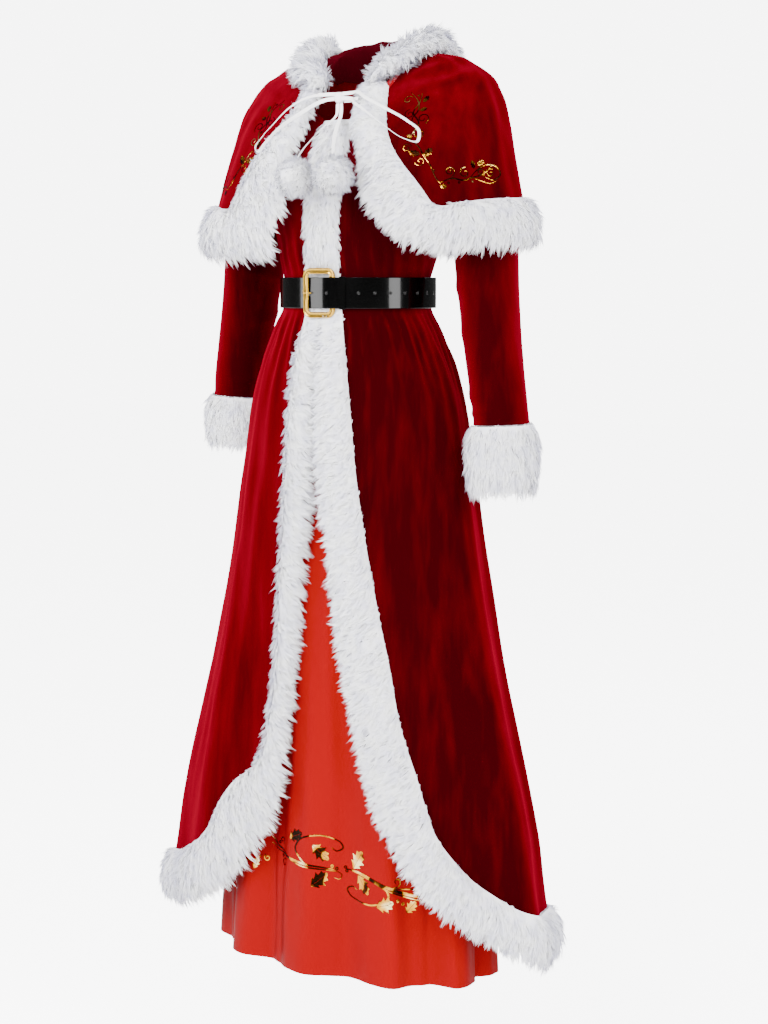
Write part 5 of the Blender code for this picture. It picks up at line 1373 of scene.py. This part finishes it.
# pressed foil, as angles and heights on the cloth: stems with their widths, leaves with length, width and
# turn, curls with radius, start and turns, and berries; sizes in metres, turns in degrees
satinScroll = {
    "grow": (1.14, 1.22), "curlWidths": (0.0012, 0.0018, 0.0016, 0.0008), "berry": 0.0027,
    "stems": (
        (((-25, -1.196), (-18, -1.204), (-10, -1.209), (0, -1.212), (9, -1.215)),
         (0.0006, 0.0022, 0.0036, 0.003, 0.0016)),
        (((-24, -1.187), (-17, -1.2), (-8, -1.213), (1, -1.216), (10, -1.2175)),
         (0.0005, 0.0014, 0.002, 0.0022, 0.0012)),
        (((-27, -1.176), (-25, -1.186), (-20, -1.197), (-14, -1.204)), (0.0006, 0.0014, 0.0018, 0.001)),
        (((14, -1.213), (22, -1.2165), (32, -1.229), (43, -1.243), (57, -1.25)),
         (0.0014, 0.0026, 0.004, 0.0046, 0.001)),
        (((16, -1.214), (24, -1.2215), (34, -1.236), (44, -1.249), (58, -1.258)),
         (0.0012, 0.002, 0.0022, 0.0018, 0.0006)),
        (((28, -1.223), (36, -1.231), (44, -1.234), (50, -1.229), (54, -1.221)),
         (0.0008, 0.0016, 0.0018, 0.0014, 0.0006)),
        (((-29, -1.205), (-33, -1.212), (-38, -1.214)), (0.0016, 0.0014, 0.0008)),
        (((-29, -1.218), (-32, -1.228), (-38, -1.232)), (0.001, 0.0018, 0.0008)),
        (((-1, -1.213), (-5, -1.204), (-8, -1.19), (-5, -1.172), (3, -1.163), (10, -1.169), (12.5, -1.18),
          (10, -1.186), (8, -1.181)), (0.0012, 0.0026, 0.003, 0.0026, 0.002, 0.0018, 0.0024, 0.0018, 0.001)),
        (((19, -1.216), (26, -1.222), (32, -1.234), (32, -1.25), (25, -1.262), (17, -1.256), (14.5, -1.244),
          (17, -1.239), (19, -1.243)), (0.0012, 0.0022, 0.003, 0.0032, 0.0024, 0.0018, 0.0022, 0.0016, 0.0008)),
        (((10, -1.217), (12, -1.223), (11, -1.23), (9, -1.228)), (0.001, 0.0012, 0.001, 0.0006))),
    "leaves": (
        (-8.0, -1.17, 0.026, 0.017, 25), (3.6, -1.19, 0.03, 0.019, -38), (3.4, -1.233, 0.03, 0.02, 40),
        (19.4, -1.196, 0.031, 0.021, 58), (22.0, -1.233, 0.03, 0.018, -52), (31.5, -1.257, 0.027, 0.019, 20),
        (43.5, -1.262, 0.02, 0.014, 50), (-24.5, -1.174, 0.015, 0.008, 96), (-31.0, -1.233, 0.017, 0.009, 70)),
    "curls": (
        (-17.5, -1.186, 0.006, -60, 1.1), (-15.0, -1.22, 0.008, 40, 1.0), (-34.5, -1.188, 0.012, -30, 1.5),
        (-27.0, -1.222, 0.006, 120, 1.2), (36.5, -1.221, 0.0085, -120, 1.0), (47.5, -1.21, 0.0095, -90, 1.3)),
    "berries": ((-19.0, -1.1905), (8.2, -1.21), (10.0, -1.2135), (13.6, -1.2105), (14.2, -1.216),
                (37.0, -1.25), (39.6, -1.256), (-16.6, -1.21))}
capeScroll = {
    "grow": (1.0, 1.0), "curlWidths": (0.0009, 0.0014, 0.0013, 0.0007), "berry": 0.0019,
    "stems": (
        (((31, -0.028), (35, -0.042), (36, -0.056), (34, -0.07), (36, -0.084)),
         (0.0006, 0.0016, 0.002, 0.0016, 0.0008)),
        (((36.5, -0.03), (36, -0.044), (34, -0.06), (37, -0.076), (35, -0.092), (33, -0.104)),
         (0.0005, 0.0014, 0.0018, 0.0018, 0.0014, 0.0006)),
        (((34, -0.1), (38, -0.112), (40, -0.124), (43, -0.14), (45, -0.158), (47, -0.168)),
         (0.0006, 0.0018, 0.002, 0.0018, 0.0016, 0.0008)),
        (((47, -0.166), (52, -0.16), (57, -0.163), (62, -0.158), (68, -0.152), (73, -0.14)),
         (0.001, 0.0022, 0.0022, 0.0018, 0.0018, 0.0008)),
        (((60, -0.16), (65, -0.146), (71, -0.138), (76, -0.143), (77, -0.154), (73, -0.161), (69, -0.157)),
         (0.0008, 0.0014, 0.0016, 0.0018, 0.0018, 0.0014, 0.0006)),
        (((62, -0.158), (66, -0.162), (71, -0.166), (75, -0.162)), (0.0008, 0.0012, 0.0012, 0.0006))),
    "curls": (
        (30.5, -0.04, 0.008, 30, 1.1), (32.5, -0.062, 0.0085, 100, 1.3), (38.5, -0.07, 0.01, -60, 1.2),
        (38.0, -0.092, 0.009, 150, 1.2), (33.5, -0.114, 0.0075, 20, 1.2), (39.0, -0.134, 0.008, 200, 1.1),
        (51.0, -0.15, 0.0085, -80, 1.5), (58.0, -0.152, 0.0085, 80, 1.2), (66.5, -0.15, 0.007, -60, 1.2),
        (72.0, -0.151, 0.007, 60, 1.1)),
    "leaves": (
        (38.6, -0.04, 0.014, 0.0085, 60), (38.2, -0.056, 0.011, 0.0075, 20), (34.0, -0.098, 0.012, 0.0085, 100),
        (36.6, -0.122, 0.018, 0.011, -15), (42.0, -0.121, 0.017, 0.012, 50), (62.5, -0.139, 0.013, 0.0085, 100),
        (67.0, -0.136, 0.013, 0.0085, 30), (48.0, -0.172, 0.01, 0.008, 0)),
    "berries": ((35.0, -0.034), (35.6, -0.078), (44.4, -0.148), (50.2, -0.167), (55.0, -0.166), (61.6, -0.164))}
foilLift = 0.0004


class FoilSheet:
    # parts are placed by angle and height on a cloth's surface and drawn in metres about that place
    def __init__(self, look, mirror=1.0):
        self.look, self.mirror = look, mirror
        self.points, self.faces, self.count = [], [], 0

    def spread(self, angle, z, across, up):
        wide = np.linalg.norm(self.look(angle + 0.5, z) - self.look(angle - 0.5, z))
        tall = np.linalg.norm(self.look(angle, z + 0.001) - self.look(angle, z - 0.001)) / 0.002
        return angle + np.asarray(across) / wide, z + np.asarray(up) / tall

    def lay(self, points, flip):
        rows, columns = points.shape[:2]
        self.points.append(points.reshape(-1, 3))
        self.faces.append(gridFaces(rows, columns, False, self.count, flip))
        self.count += rows * columns

    def grid(self, angle, z):
        angle = angle * self.mirror
        self.lay(self.look(angle, z) + formNormals(self.look, angle, z) * foilLift, self.mirror > 0)

    def stroke(self, angle, z, widths):
        # a strip along a dense line of angles and heights, as wide as widths says
        normal = formNormals(self.look, angle * self.mirror, z)
        centre = self.look(angle * self.mirror, z) + normal * foilLift
        side = unit(np.cross(unit(np.gradient(centre, axis=0)), normal))
        at = np.linspace(0.0, 1.0, len(centre))
        wide = curve(np.array(widths, float)[:, None], at * (len(widths) - 1)) / 2
        self.lay(np.stack([centre - side * wide, centre + normal * 0.0001, centre + side * wide], axis=1), True)

    def stem(self, spots, widths):
        spots = np.array(spots, float)
        dense = curve(spots, np.linspace(0.0, len(spots) - 1.0, 48))
        self.stroke(dense[:, 0], dense[:, 1], widths)

    def curl(self, angle, z, radius, start, turns, widths):
        # spiral that closes in: r = radius (1 - .8 t)
        t = np.linspace(0.0, 1.0, 36)
        turn = np.radians(start) + 2 * math.pi * turns * t
        r = radius * (1.0 - 0.8 * t)
        self.stroke(*self.spread(angle, z, r * np.cos(turn), r * np.sin(turn)), widths)

    def leaf(self, angle, z, length, width, turned):
        # half width w = width sin(pi t)^.7, drawn out to points at each scallop; a vein splits the halves
        t = np.linspace(0.0, 1.0, 37)
        saw = (t * 3.5 + 0.1) % 1.0
        half = width / 2 * np.sin(np.pi * t) ** 0.7 * (0.58 + 0.56 * saw ** 2.0)
        c, s = math.cos(math.radians(turned)), math.sin(math.radians(turned))
        for sign in (-1.0, 1.0):
            y = sign * (0.00028 + np.linspace(0.0, 1.0, 3)[None, :] * half[:, None])
            x = (t[:, None] - 0.5) * length + 0.1 * np.abs(y)
            a, h = self.spread(angle, z, x * c - y * s, x * s + y * c)
            self.grid(a if sign > 0 else a[:, ::-1], h if sign > 0 else h[:, ::-1])

    def berry(self, angle, z, radius):
        # a flat ring between .38 of the radius and the radius
        turn = np.linspace(0.0, 2 * math.pi, 21)[:, None]
        r = np.array([0.38, 1.0])[None, :] * radius
        self.grid(*self.spread(angle, z, r * np.cos(turn), r * np.sin(turn)))

    def draw(self, scroll, shift=0.0, rise=0.0):
        # the whole pattern, moved round by shift and sloped by rise metres a degree
        def at(angle, z):
            return angle + shift, z + rise * (angle - 10.0)

        for kind, rows in scroll.items():
            if kind == "stems":
                for spots, widths in rows:
                    self.stem([at(*spot) for spot in spots], widths)
            elif kind == "leaves":
                for angle, z, length, width, turned in rows:
                    self.leaf(*at(angle, z), scroll["grow"][0] * length, scroll["grow"][1] * width, turned)
            elif kind == "curls":
                for angle, z, *spiral in rows:
                    self.curl(*at(angle, z), *spiral, scroll["curlWidths"])
            elif kind == "berries":
                for spot in rows:
                    self.berry(*at(*spot), scroll["berry"])

    def finish(self, name):
        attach(addMesh(name, np.concatenate(self.points), self.faces, foil), "root")


hemFoil = FoilSheet(satinLook)
for shift, rise in ((0.0, 0.0), (90.0, 0.0007), (180.0, 0.0007), (270.0, 0.0007)):
    hemFoil.draw(satinScroll, shift, rise)
hemFoil.finish("satin_foil")
for name, sign in sides:
    capeFoil = FoilSheet(capeLook, sign)
    capeFoil.draw(capeScroll)
    capeFoil.finish("cape_foil_" + name)
print("foil made")
